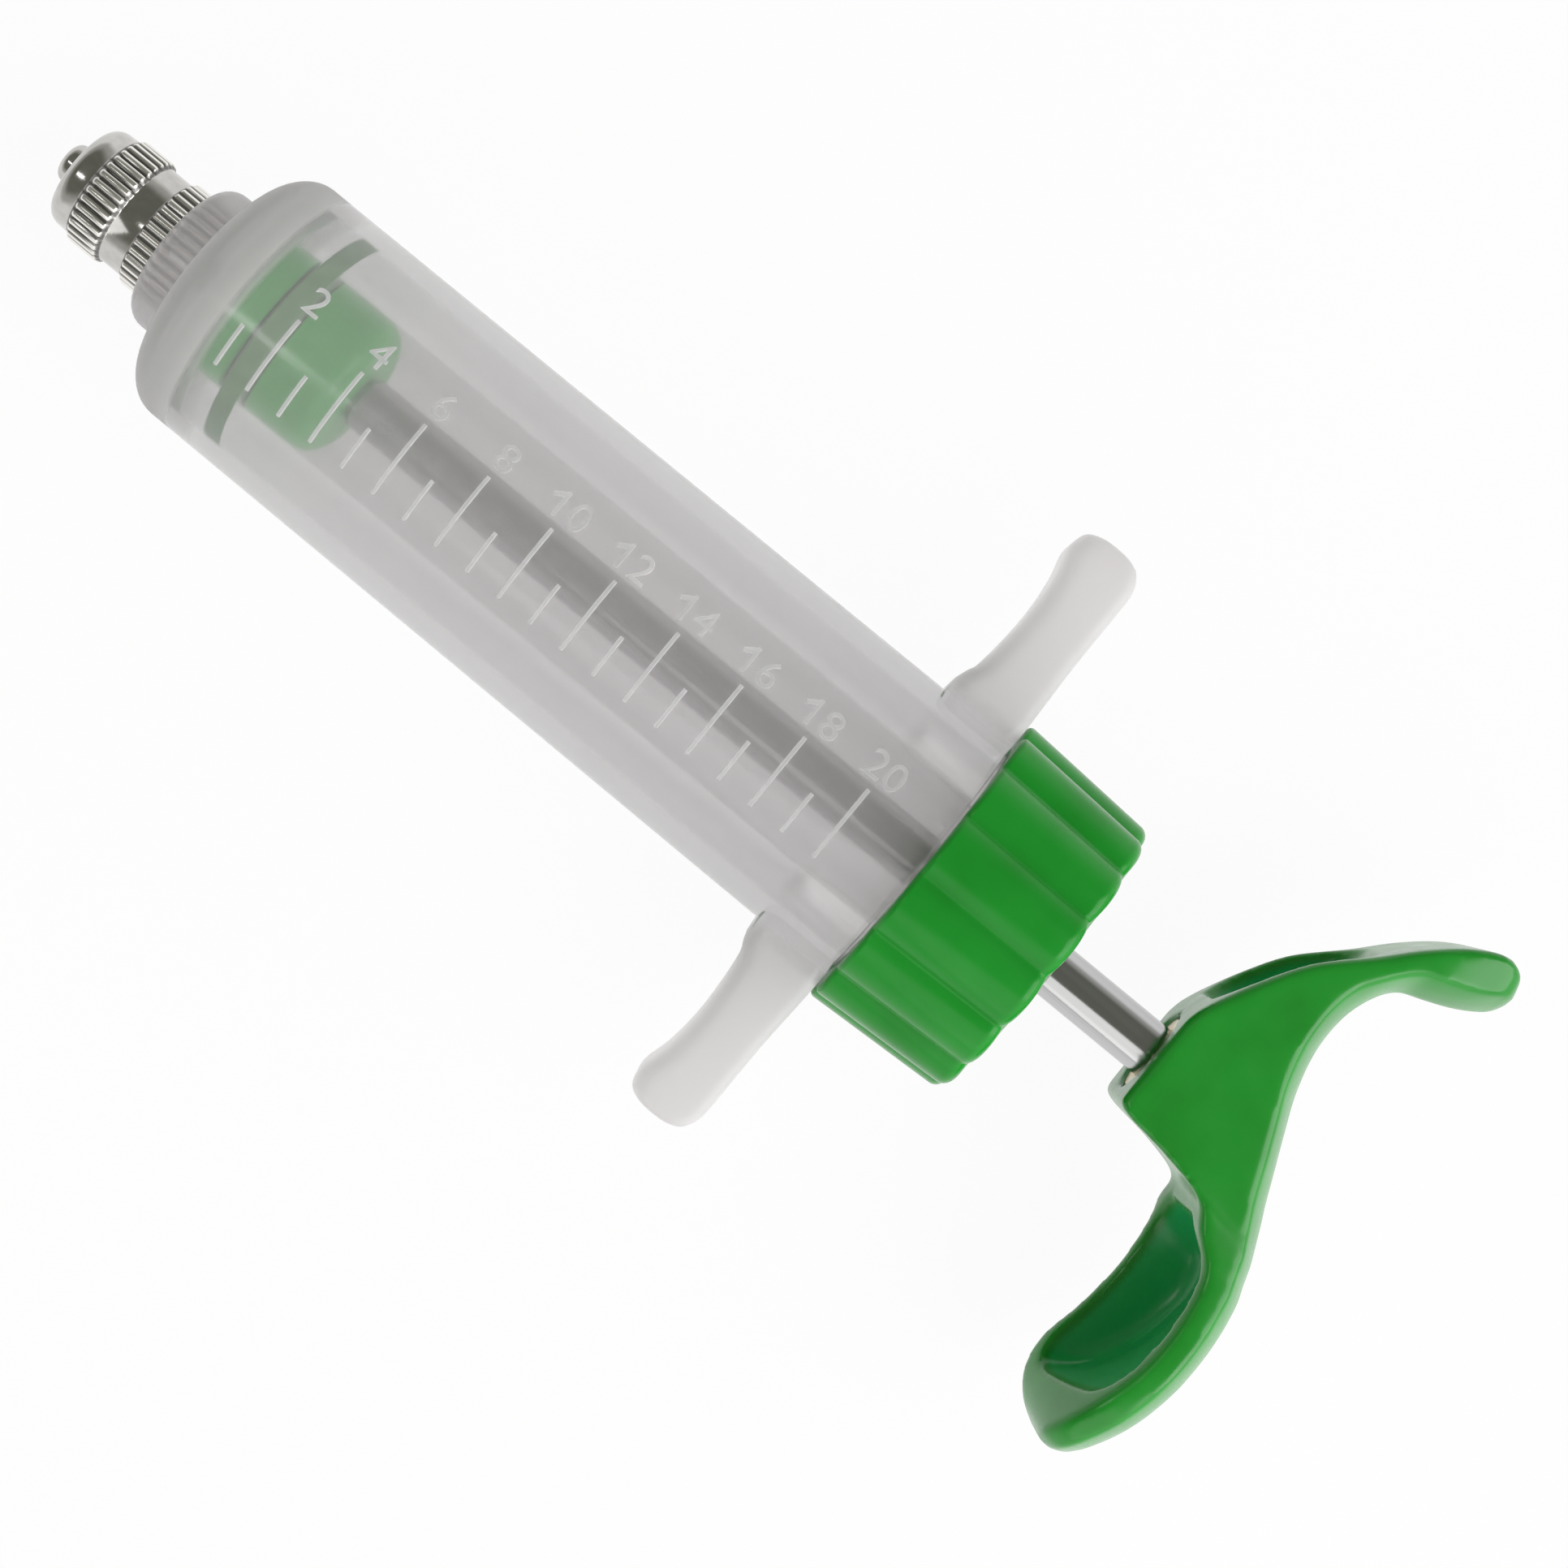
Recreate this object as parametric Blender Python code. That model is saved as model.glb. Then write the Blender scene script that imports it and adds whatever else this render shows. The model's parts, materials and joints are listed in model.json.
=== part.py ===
"""Plastic syringe: graduated barrel with finger rests, screw cap, plunger and lock nozzle.

It lies on its side. The syringe's axis runs along X, from the nozzle (-X) to the palm
handle (+X), the finger rests lie in the XY plane and +Z is up. Places along the axis are
stations, measured backwards from the front face of the barrel's neck. The plunger is
pressed in, with the piston's front face just behind the zero of the scale.
"""

import math

import bmesh
import bpy
from mathutils import Vector

mm = 0.001

# Clearances
SEAT = 0.3 * mm
RUNNING = 0.09 * mm
PRESS = 0.15 * mm
THREAD_CLEARANCE = 0.35 * mm

# Barrel: a bore of 17.6 mm holds 20 ml in a stroke of 82.5 mm
BORE_R = 8.79 * mm
DOSE_STROKE = 82.5 * mm
SPARE_STROKE = 3.4 * mm
BARREL_WALL = 6.41 * mm
BARREL_DRAFT = 0.34 * mm
NECK_R = 8.8 * mm
NECK_LENGTH = 4.6 * mm
NECK_FILLET = 2.3 * mm
SHOULDER_FLAT = 0.5 * mm
SHOULDER_LENGTH = 4.5 * mm
BORE_FRONT = 8.0 * mm
DEAD_SPACE = 2.7 * mm
PISTON_BEHIND_ZERO = 0.9 * mm
FLOW_R = 1.2 * mm
THREAD_R = 14.3 * mm
THREAD_LENGTH = 13.1 * mm
THREAD_CHAMFER = 0.8 * mm

# Finger rests
REST_BEHIND_SCALE = 8.9 * mm
REST_SPAN = 76.4 * mm
REST_HALF_DEPTH = 6.8 * mm
REST_EDGE = 2.2 * mm

# Screw cap
CAP_WALL = 3.2 * mm
CAP_TAPER = 0.85 * mm
CAP_FLOOR = 2.6 * mm
CAP_LOBES = 14
STEPS_PER_LOBE = 6
LOBE_DEPTH = 1.1 * mm
LOBE_FULLNESS = 0.55
LOBE_PHASE_DEG = 4.0
CAP_FRONT_EDGE = 0.5 * mm
CAP_REAR_EDGE = 1.3 * mm
SEAL_THICKNESS = 1.0 * mm
GUIDE_SPIGOT_R = 5.4 * mm
GUIDE_CHAMFER = 0.4 * mm
WIPER_SECTION_R = 0.9 * mm

# Plunger
ROD_R = 3.04 * mm
ROD_SCREW_R = 2.2 * mm
ROD_CHAMFER = 0.4 * mm
PISTON_LENGTH = 14.4 * mm
PISTON_CLEARANCE = 0.2 * mm
PISTON_HEAD_LENGTH = 3.5 * mm
PISTON_CHAMFER = 0.5 * mm
PISTON_ROUNDING = 2.0 * mm
RING_SECTION_R = 1.55 * mm
SPIGOT_R = 5.3 * mm
SPIGOT_LENGTH = 7.0 * mm
ROD_BEHIND_CAP = 14.5 * mm

# Handle
INSERT_BUSH_R = 4.65 * mm
INSERT_BUSH_LENGTH = 13.5 * mm
INSERT_RECESS = 0.4 * mm
ROD_SOCKET = 2.0 * mm
HANDLE_FRONT_EDGE = 0.9 * mm
HANDLE_SIDE_EDGE = 2.9 * mm
HANDLE_BACK_EDGE = 6.5 * mm
HANDLE_EDGE_FULLNESS = 0.75
POCKET_WALL = 1.7 * mm
POCKET_WEB = 2.6 * mm
POCKET_MOUTH_EDGE = 0.8 * mm
POCKET_FLOOR_EDGE = 2.2 * mm
CUTTER_REACH = 3.0 * mm

# Nozzle and its insert
KNURL_R = 6.6 * mm
KNURL_DEPTH = 0.3 * mm
KNURL_GROOVES = 36
COLLAR_R = 6.06 * mm
KNURL_CHAMFER = 0.4 * mm
COLLAR_LENGTH = 10.0 * mm
COLLAR_FRONT_RING = 2.9 * mm
COLLAR_REAR_RING = 2.7 * mm
COLLAR_BORE_R = 3.95 * mm
COLLAR_NOSE_LENGTH = 1.6 * mm
COLLAR_NOSE_DEPTH = 1.2 * mm
INSERT_COLLAR = 2.4 * mm
INSERT_DEPTH = 5.2 * mm
STEM_R = 3.75 * mm
WASHER_THICKNESS = 0.9 * mm
FLANGE_R = 5.2 * mm
FLANGE_THICKNESS = 1.85 * mm
CONE_TIP_R = 2.3 * mm
CONE_BASE_R = 2.6 * mm
CONE_REACH = 2.2 * mm
CONE_ROUNDING = 1.0 * mm
STEM_CHAMFER = 0.3 * mm

STEPS = 38
BARREL_STEPS = 52
SMALL_STEPS = 30

# Stations along the axis
PISTON_FRONT = BORE_FRONT + DEAD_SPACE
SCALE_ZERO = PISTON_FRONT - PISTON_BEHIND_ZERO
SCALE_END = SCALE_ZERO + DOSE_STROKE
REST_REAR = SCALE_END + REST_BEHIND_SCALE
BARREL_END = REST_REAR + THREAD_LENGTH
CAP_FRONT = REST_REAR + SEAT
CAP_FLOOR_FRONT = BARREL_END + 2.0 * SEAT + SEAL_THICKNESS
CAP_REAR = CAP_FLOOR_FRONT + CAP_FLOOR
PISTON_REAR = PISTON_FRONT + PISTON_LENGTH
GUIDE_FRONT = PISTON_REAR + SCALE_END - PISTON_FRONT + SPARE_STROKE + SEAT
HANDLE_FRONT = CAP_REAR + ROD_BEHIND_CAP
COLLAR_REAR = -INSERT_COLLAR - SEAT
COLLAR_FRONT = COLLAR_REAR - COLLAR_LENGTH
CONE_TIP = COLLAR_FRONT - CONE_REACH

# Ribs of the handle, from the tip of the upper arm over the hub to the lower arm's end.
# Each rib is a slice: front edge (back, up), rear edge (back, up), half depth, and how far
# the slice's front face leans back on the side that faces up. Millimetres from the point
# where the axis meets the hub's front face.
HANDLE_RIBS = [
    ((25.3, 29.1), (25.8, 26.9), 3.4, 0.0),
    ((24.0, 30.5), (24.7, 25.4), 6.2, 0.0),
    ((21.5, 30.9), (21.8, 23.6), 7.6, 0.0),
    ((18.0, 29.1), (18.8, 22.3), 8.3, 0.0),
    ((14.4, 26.0), (16.0, 21.1), 8.5, 0.0),
    ((10.9, 22.2), (14.3, 18.7), 8.5, 0.0),
    ((6.4, 17.6), (13.3, 15.1), 8.5, 0.0),
    ((3.4, 12.8), (13.4, 10.8), 8.4, 0.0),
    ((0.8, 7.5), (14.6, 6.3), 8.2, 0.0),
    ((0.0, 4.4), (16.3, 2.4), 8.0, 0.0),
    ((0.0, 0.0), (18.1, -1.5), 8.0, 0.0),
    ((0.0, -4.8), (19.6, -4.8), 8.0, 0.0),
    ((0.9, -6.55), (20.6, -6.8), 8.1, 0.0),
    ((6.8, -7.4), (21.5, -8.8), 8.3, 0.1),
    ((11.9, -8.7), (22.3, -10.7), 8.7, 0.5),
    ((13.3, -11.3), (23.0, -12.9), 9.1, 1.4),
    ((15.3, -14.4), (23.8, -15.4), 9.5, 2.5),
    ((16.2, -20.0), (24.4, -20.0), 10.0, 2.8),
    ((15.9, -26.0), (24.4, -25.8), 10.0, 3.0),
    ((14.8, -31.1), (23.4, -31.3), 9.6, 2.9),
    ((14.4, -34.9), (21.8, -35.6), 8.4, 2.1),
    ((14.9, -37.4), (20.5, -38.1), 6.2, 1.0),
    ((16.3, -38.8), (18.9, -39.0), 3.2, 0.2),
]
UPPER_POCKET = (4.7, 7.8)
LOWER_POCKET = (14.7, 19.9)

# Slices of one finger rest: share of the half span, how far its front and rear sides lie
# before the rest's rear plane in millimetres, and its share of the half depth.
REST_SLICES = [
    (0.00, 9.3, 0.0, 1.06),
    (0.41, 9.2, 0.0, 1.06),
    (0.52, 8.05, 0.1, 1.03),
    (0.65, 7.55, 0.3, 1.0),
    (0.75, 7.55, 0.35, 1.0),
    (0.84, 7.95, 0.35, 1.0),
    (0.905, 8.6, 0.4, 1.0),
    (0.94, 8.6, 0.65, 0.97),
    (0.975, 8.1, 1.4, 0.88),
    (0.994, 6.9, 2.7, 0.72),
    (1.0, 5.7, 3.9, 0.5),
]

# The model stands at the middle of its length and width, with its lowest point at zero
HANDLE_REAR = HANDLE_FRONT + max(rear[0] for front, rear, depth, lean in HANDLE_RIBS) * mm
HANDLE_LOWEST = -min(rear[1] for front, rear, depth, lean in HANDLE_RIBS) * mm
CAP_REAR_R = THREAD_R + CAP_WALL
CAP_FRONT_R = CAP_REAR_R + CAP_TAPER


def lobes(step):
    """Convex lobes with narrow valleys between them, and a valley near the top."""
    place = (step % STEPS_PER_LOBE) / STEPS_PER_LOBE
    return 1.0 - math.sin(math.pi * place) ** LOBE_FULLNESS


def axis_place():
    """Where the syringe's axis lies, so that the model is centred and rests on its cap."""
    steps = CAP_LOBES * STEPS_PER_LOBE
    drops = []
    for step in range(steps):
        angle = math.tau * step / steps + math.radians(LOBE_PHASE_DEG)
        drops.append(-(CAP_FRONT_R - LOBE_DEPTH * lobes(step)) * math.cos(angle))
    half_span = 0.5 * REST_SPAN
    return Vector((
        -0.5 * (CONE_TIP + HANDLE_REAR),
        0.5 * (max(HANDLE_LOWEST, half_span) - half_span),
        max(drops),
    ))


def clear_scene():
    for item in list(bpy.data.objects):
        bpy.data.objects.remove(item)


def finish_look(name, colour, roughness, metallic=0.0, transmission=0.0):
    """A Principled material of one colour."""
    look = bpy.data.materials.new(name)
    look.use_nodes = True
    shader = look.node_tree.nodes["Principled BSDF"]
    shader.inputs["Base Color"].default_value = (*colour, 1.0)
    shader.inputs["Roughness"].default_value = roughness
    shader.inputs["Metallic"].default_value = metallic
    shader.inputs["Transmission Weight"].default_value = transmission
    look.diffuse_color = (*colour, 1.0)
    return look


def add_object(name, mesh, look, station, axis):
    """Put a mesh in the scene with its origin on the syringe's axis."""
    mesh.shade_smooth()
    mesh.set_sharp_from_angle(angle=math.radians(32.0))
    part = bpy.data.objects.new(name, mesh)
    bpy.context.scene.collection.objects.link(part)
    part.parent = axis
    part.location = (station, 0.0, 0.0)
    if look:
        mesh.materials.append(look)
    else:
        part.hide_render = True
        part.display_type = "WIRE"
    return part


def to_mesh(name, bm):
    bmesh.ops.recalc_face_normals(bm, faces=bm.faces)
    mesh = bpy.data.meshes.new(name)
    bm.to_mesh(mesh)
    bm.free()
    return mesh


def turned(name, profile, look, axis, steps=STEPS, hollow=True, groove=None, phase=0.0):
    """Turn a profile of (station, radius, groove depth) points round the X axis.

    A hollow profile is a closed loop; a solid one starts and ends on the axis. The groove
    function gives the share of the groove depth that is cut at a step round the piece, and
    the phase turns the first step from the top towards -Y, in degrees.
    """
    start = profile[0][0]
    bm = bmesh.new()
    rings = []
    for point in profile:
        station, radius = point[0], point[1]
        depth = point[2] if len(point) > 2 else 0.0
        if radius <= 0.0:
            rings.append([bm.verts.new((station - start, 0.0, 0.0))])
            continue
        ring = []
        for step in range(steps):
            angle = math.tau * step / steps + math.radians(phase)
            reach = radius - depth * (groove(step) if groove else 0.0)
            ring.append(bm.verts.new((station - start, -reach * math.sin(angle), reach * math.cos(angle))))
        rings.append(ring)
    pairs = list(zip(rings, rings[1:]))
    if hollow:
        pairs.append((rings[-1], rings[0]))
    for one, two in pairs:
        for step in range(steps):
            following = (step + 1) % steps
            corners = [one[step % len(one)], one[following % len(one)],
                       two[following % len(two)], two[step % len(two)]]
            bm.faces.new(list(dict.fromkeys(corners)))
    return add_object(name, to_mesh(name, bm), look, start, axis)


def quarter(station, radius, width, height, steps=4, rising=True):
    """Points of a quarter ellipse, from its low end to its high end along the profile."""
    points = []
    for step in range(steps + 1):
        angle = 0.5 * math.pi * step / steps
        if rising:
            points.append((station + width * (1.0 - math.cos(angle)), radius + height * math.sin(angle)))
        else:
            points.append((station + width * math.sin(angle), radius + height * math.cos(angle)))
    return points


def round_section(station, radius, section, sides=8):
    """A closed circular section, as a sealing ring has."""
    points = []
    for side in range(sides):
        angle = math.tau * side / sides
        points.append((station + section * math.cos(angle), radius + section * math.sin(angle)))
    return points


def knurl(step):
    """Straight V grooves: each step is a crest or a root."""
    return float(step % 2)


def rounded_slice(corners, front_edge, side_edge, back_edge, fullness=1.0, steps=3):
    """Round the corners of a slice: high and low in front, then low and high at the back.

    A front corner is cut by the same length both ways, and a back corner by its own length
    along the side and along the back. A fullness below 1 flattens the back corners.
    """
    cuts = [(front_edge, front_edge), (front_edge, front_edge),
            (side_edge, back_edge), (back_edge, side_edge)]
    points = []
    for index, corner in enumerate(corners):
        before = corners[index - 1] - corner
        after = corners[(index + 1) % 4] - corner
        start = corner + before * min(cuts[index][0] / before.length, 0.48)
        end = corner + after * min(cuts[index][1] / after.length, 0.48)
        if index > 1:
            corner = corner * fullness + (start + end) * 0.5 * (1.0 - fullness)
        for step in range(steps + 1):
            share = step / steps
            points.append(start * (1.0 - share) ** 2 + corner * 2.0 * share * (1.0 - share) + end * share ** 2)
    return points


def lofted(name, slices, look, axis, station):
    """Join slices of equal point counts into one closed body with flat ends."""
    bm = bmesh.new()
    rings = []
    for points in slices:
        rings.append([bm.verts.new(point) for point in points])
    for one, two in zip(rings, rings[1:]):
        for index in range(len(one)):
            following = (index + 1) % len(one)
            bm.faces.new((one[index], one[following], two[following], two[index]))
    bm.faces.new(rings[0])
    bm.faces.new(list(reversed(rings[-1])))
    return add_object(name, to_mesh(name, bm), look, station, axis)


def change_shape(part, tool, operation):
    step = part.modifiers.new(tool.name, "BOOLEAN")
    step.operation = operation
    step.solver = "EXACT"
    step.object = tool


def smooth_between(rows, place):
    """Read a row of numbers at a fractional place, on a smooth curve through the rows."""
    index = min(int(place), len(rows) - 2)
    share = place - index
    before = rows[max(index - 1, 0)]
    one = rows[index]
    two = rows[index + 1]
    after = rows[min(index + 2, len(rows) - 1)]
    values = []
    for a, b, c, d in zip(before, one, two, after):
        values.append(0.5 * (2.0 * b + (c - a) * share + (2.0 * a - 5.0 * b + 4.0 * c - d) * share ** 2
                             + (3.0 * b - a - 3.0 * c + d) * share ** 3))
    return values


def make_barrel(look, axis):
    front_r = BORE_R + BARREL_WALL
    rear_r = front_r + BARREL_DRAFT
    shoulder_r = NECK_R + SHOULDER_FLAT
    shoulder = quarter(NECK_LENGTH, shoulder_r, SHOULDER_LENGTH, front_r - shoulder_r, steps=5)
    outside = [(0.0, 0.0), (0.0, NECK_R - NECK_FILLET)]
    outside += quarter(0.0, NECK_R - NECK_FILLET, NECK_FILLET, NECK_FILLET, steps=3)[1:]
    outside += [(NECK_LENGTH, NECK_R)] + shoulder
    outside += [
        (REST_REAR - THREAD_CHAMFER, rear_r),
        (REST_REAR, rear_r - THREAD_CHAMFER),
        (REST_REAR, THREAD_R),
        (BARREL_END - THREAD_CHAMFER, THREAD_R),
        (BARREL_END, THREAD_R - THREAD_CHAMFER),
        (BARREL_END, 0.0),
    ]
    barrel = turned("barrel", outside, look, axis, steps=BARREL_STEPS, hollow=False)
    rests = make_finger_rests(axis)
    pocket_r = KNURL_R + PRESS
    pocket_end = INSERT_DEPTH + SEAT
    inside = [
        (-SEAT, 0.0),
        (-SEAT, pocket_r),
        (pocket_end, pocket_r),
        (pocket_end, FLOW_R),
        (BORE_FRONT, FLOW_R),
        (BORE_FRONT, BORE_R),
        (BARREL_END + SEAT, BORE_R),
        (BARREL_END + SEAT, 0.0),
    ]
    bore = turned("bore_cutter", inside, None, axis, steps=BARREL_STEPS, hollow=False)
    change_shape(barrel, rests, "UNION")
    change_shape(barrel, bore, "DIFFERENCE")
    return barrel


def make_finger_rests(axis):
    """Both rests in one body that runs through the barrel, before the bore is cut."""
    one_side = []
    for span, front, rear, depth in REST_SLICES:
        up = 0.5 * REST_SPAN * span
        half = REST_HALF_DEPTH * depth
        front_at = -front * mm
        rear_at = -rear * mm
        corners = [
            Vector((front_at, up, half)), Vector((front_at, up, -half)),
            Vector((rear_at, up, -half)), Vector((rear_at, up, half)),
        ]
        rear_edge = REST_EDGE * 0.5
        one_side.append(rounded_slice(corners, REST_EDGE, rear_edge, rear_edge))
    other_side = []
    for points in reversed(one_side[1:]):
        other_side.append([Vector((point.x, -point.y, point.z)) for point in points])
    return lofted("finger_rest_form", other_side + one_side[1:], None, axis, REST_REAR)


def make_nozzle_insert(look, axis):
    recess = WASHER_THICKNESS + SEAT
    front = -INSERT_COLLAR
    bore = STEM_R + PRESS
    profile = [
        (front, FLANGE_R + PRESS),
        (front, KNURL_R - KNURL_CHAMFER),
        (front + KNURL_CHAMFER, KNURL_R, KNURL_DEPTH),
        (INSERT_DEPTH - KNURL_CHAMFER, KNURL_R, KNURL_DEPTH),
        (INSERT_DEPTH, KNURL_R - KNURL_CHAMFER),
        (INSERT_DEPTH, bore),
        (front + recess, bore),
        (front + recess, FLANGE_R + PRESS),
    ]
    return turned("nozzle_insert", profile, look, axis, steps=2 * round(KNURL_GROOVES), groove=knurl)


def make_nozzle_washer(look, axis):
    front = -INSERT_COLLAR
    inner = STEM_R + PRESS
    profile = [
        (front, inner),
        (front, FLANGE_R),
        (front + WASHER_THICKNESS, FLANGE_R),
        (front + WASHER_THICKNESS, inner),
    ]
    return turned("nozzle_washer", profile, look, axis, steps=SMALL_STEPS)


def make_luer_lock_collar(look, axis):
    knurl_front = COLLAR_FRONT + COLLAR_FRONT_RING
    knurl_end = COLLAR_REAR - COLLAR_REAR_RING
    counterbore = FLANGE_R + PRESS
    counterbore_floor = COLLAR_REAR - FLANGE_THICKNESS - SEAT
    profile = [(COLLAR_FRONT, COLLAR_BORE_R)]
    profile += quarter(COLLAR_FRONT, COLLAR_R - COLLAR_NOSE_DEPTH, COLLAR_NOSE_LENGTH,
                       COLLAR_NOSE_DEPTH, steps=3)
    profile += [
        (knurl_front, COLLAR_R),
        (knurl_front + KNURL_CHAMFER, KNURL_R, KNURL_DEPTH),
        (knurl_end - KNURL_CHAMFER, KNURL_R, KNURL_DEPTH),
        (knurl_end, COLLAR_R),
        (COLLAR_REAR, COLLAR_R),
        (COLLAR_REAR, counterbore),
        (counterbore_floor, counterbore),
        (counterbore_floor, COLLAR_BORE_R),
    ]
    return turned("luer_lock_collar", profile, look, axis, steps=2 * round(KNURL_GROOVES), groove=knurl)


def make_luer_cone(look, axis):
    flange_front = COLLAR_REAR - FLANGE_THICKNESS
    stem_end = INSERT_DEPTH - 2.0 * SEAT
    profile = [(CONE_TIP, FLOW_R)]
    profile += quarter(CONE_TIP, CONE_TIP_R - CONE_ROUNDING, CONE_ROUNDING, CONE_ROUNDING, steps=3)
    profile += [
        (flange_front, CONE_BASE_R),
        (flange_front, FLANGE_R),
        (COLLAR_REAR, FLANGE_R),
        (COLLAR_REAR, STEM_R),
        (stem_end - STEM_CHAMFER, STEM_R),
        (stem_end, STEM_R - STEM_CHAMFER),
        (stem_end, FLOW_R),
    ]
    return turned("luer_cone", profile, look, axis, steps=SMALL_STEPS)


def make_screw_cap(look, axis):
    inner = THREAD_R + THREAD_CLEARANCE
    hole = GUIDE_SPIGOT_R + PRESS
    slope = CAP_TAPER / (CAP_REAR - CAP_FRONT)
    near_rear_r = CAP_REAR_R + slope * CAP_REAR_EDGE
    rear_edge_front = CAP_REAR - CAP_REAR_EDGE
    profile = [
        (CAP_FRONT, inner + THREAD_CHAMFER),
        (CAP_FRONT, CAP_FRONT_R - CAP_FRONT_EDGE, LOBE_DEPTH),
        (CAP_FRONT + CAP_FRONT_EDGE, CAP_FRONT_R, LOBE_DEPTH),
        (rear_edge_front, near_rear_r, LOBE_DEPTH),
    ]
    for point in quarter(rear_edge_front, near_rear_r - CAP_REAR_EDGE, CAP_REAR_EDGE, CAP_REAR_EDGE,
                         steps=2, rising=False)[1:]:
        profile.append((*point, LOBE_DEPTH * 0.7))
    profile += [
        (CAP_REAR, hole),
        (CAP_FLOOR_FRONT, hole),
        (CAP_FLOOR_FRONT, inner),
        (CAP_FRONT + THREAD_CHAMFER, inner),
    ]
    return turned("screw_cap", profile, look, axis, steps=STEPS_PER_LOBE * CAP_LOBES, groove=lobes,
                  phase=LOBE_PHASE_DEG)


def make_cap_seal(look, axis):
    front = BARREL_END + SEAT
    inner = BORE_R + SEAT
    outer = THREAD_R - SEAT
    profile = [
        (front, inner),
        (front, outer),
        (front + SEAL_THICKNESS, outer),
        (front + SEAL_THICKNESS, inner),
    ]
    return turned("cap_seal", profile, look, axis)


def wiper_station():
    return 0.5 * (GUIDE_FRONT + CAP_FLOOR_FRONT)


def make_rod_guide_bush(look, axis):
    body = BORE_R - SEAT
    hole = ROD_R + RUNNING
    groove_r = ROD_R + RUNNING + 2.0 * WIPER_SECTION_R + PRESS
    groove_half = WIPER_SECTION_R + PRESS
    shelf = CAP_FLOOR_FRONT - SEAT
    profile = [
        (GUIDE_FRONT, hole + GUIDE_CHAMFER),
        (GUIDE_FRONT, body - GUIDE_CHAMFER),
        (GUIDE_FRONT + GUIDE_CHAMFER, body),
        (shelf, body),
        (shelf, GUIDE_SPIGOT_R),
        (CAP_REAR - GUIDE_CHAMFER, GUIDE_SPIGOT_R),
        (CAP_REAR - GUIDE_CHAMFER, hole),
        (wiper_station() + groove_half, hole),
        (wiper_station() + groove_half, groove_r),
        (wiper_station() - groove_half, groove_r),
        (wiper_station() - groove_half, hole),
        (GUIDE_FRONT + GUIDE_CHAMFER, hole),
    ]
    return turned("rod_guide_bush", profile, look, axis, steps=SMALL_STEPS)


def make_rod_wiper(look, axis):
    middle = ROD_R + RUNNING + WIPER_SECTION_R
    profile = round_section(wiper_station(), middle, WIPER_SECTION_R)
    return turned("rod_wiper", profile, look, axis, steps=SMALL_STEPS)


def ring_station():
    return PISTON_FRONT + PISTON_HEAD_LENGTH + RUNNING + RING_SECTION_R


def make_piston_head(look, axis):
    outer = BORE_R - PISTON_CLEARANCE
    screw = ROD_SCREW_R + PRESS
    disc_end = PISTON_FRONT + PISTON_HEAD_LENGTH
    spigot_end = disc_end + SPIGOT_LENGTH
    hole_floor = PISTON_FRONT + 0.5 * PISTON_HEAD_LENGTH
    profile = [
        (PISTON_FRONT, 0.0),
        (PISTON_FRONT, outer - PISTON_CHAMFER),
        (PISTON_FRONT + PISTON_CHAMFER, outer),
        (disc_end, outer),
        (disc_end, SPIGOT_R),
        (spigot_end, SPIGOT_R),
        (spigot_end, screw),
        (hole_floor, screw),
        (hole_floor, 0.0),
    ]
    return turned("piston_head", profile, look, axis, hollow=False)


def make_piston_o_ring(look, axis):
    middle = BORE_R - RUNNING - RING_SECTION_R
    profile = round_section(ring_station(), middle, RING_SECTION_R)
    return turned("piston_o_ring", profile, look, axis)


def make_piston_body(look, axis):
    outer = BORE_R - PISTON_CLEARANCE
    socket = SPIGOT_R + PRESS
    screw = ROD_SCREW_R + PRESS
    front = ring_station() + RING_SECTION_R + RUNNING
    socket_floor = PISTON_FRONT + PISTON_HEAD_LENGTH + SPIGOT_LENGTH + SEAT
    profile = [
        (front, socket),
        (front, outer),
        (PISTON_REAR - PISTON_ROUNDING, outer),
    ]
    profile += quarter(PISTON_REAR - PISTON_ROUNDING, outer - PISTON_ROUNDING, PISTON_ROUNDING,
                       PISTON_ROUNDING, steps=4, rising=False)[1:]
    profile += [
        (PISTON_REAR, screw),
        (socket_floor, screw),
        (socket_floor, socket),
    ]
    return turned("piston_body", profile, look, axis)


def make_plunger_rod(look, axis):
    tip = PISTON_FRONT + 0.5 * PISTON_HEAD_LENGTH + SEAT
    shoulder = PISTON_REAR + SEAT
    handle_shoulder = HANDLE_FRONT + INSERT_RECESS + ROD_SOCKET
    end = HANDLE_FRONT + INSERT_RECESS + INSERT_BUSH_LENGTH - SEAT
    profile = [
        (tip, 0.0),
        (tip, ROD_SCREW_R - ROD_CHAMFER),
        (tip + ROD_CHAMFER, ROD_SCREW_R),
        (shoulder, ROD_SCREW_R),
        (shoulder, ROD_R - ROD_CHAMFER),
        (shoulder + ROD_CHAMFER, ROD_R),
        (handle_shoulder, ROD_R),
        (handle_shoulder, ROD_SCREW_R),
        (end - ROD_CHAMFER, ROD_SCREW_R),
        (end, ROD_SCREW_R - ROD_CHAMFER),
        (end, 0.0),
    ]
    return turned("plunger_rod", profile, look, axis, steps=SMALL_STEPS, hollow=False)


def make_handle_insert(look, axis):
    front = HANDLE_FRONT + INSERT_RECESS
    step_at = front + ROD_SOCKET + SEAT
    end = front + INSERT_BUSH_LENGTH
    profile = [
        (front, ROD_R + PRESS),
        (front, INSERT_BUSH_R),
        (end, INSERT_BUSH_R),
        (end, ROD_SCREW_R + PRESS),
        (step_at, ROD_SCREW_R + PRESS),
        (step_at, ROD_R + PRESS),
    ]
    return turned("handle_insert", profile, look, axis, steps=SMALL_STEPS)


def handle_rows():
    rows = []
    for front, rear, depth, lean in HANDLE_RIBS:
        rows.append((front[0], front[1], rear[0], rear[1], depth, lean))
    return rows


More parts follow.
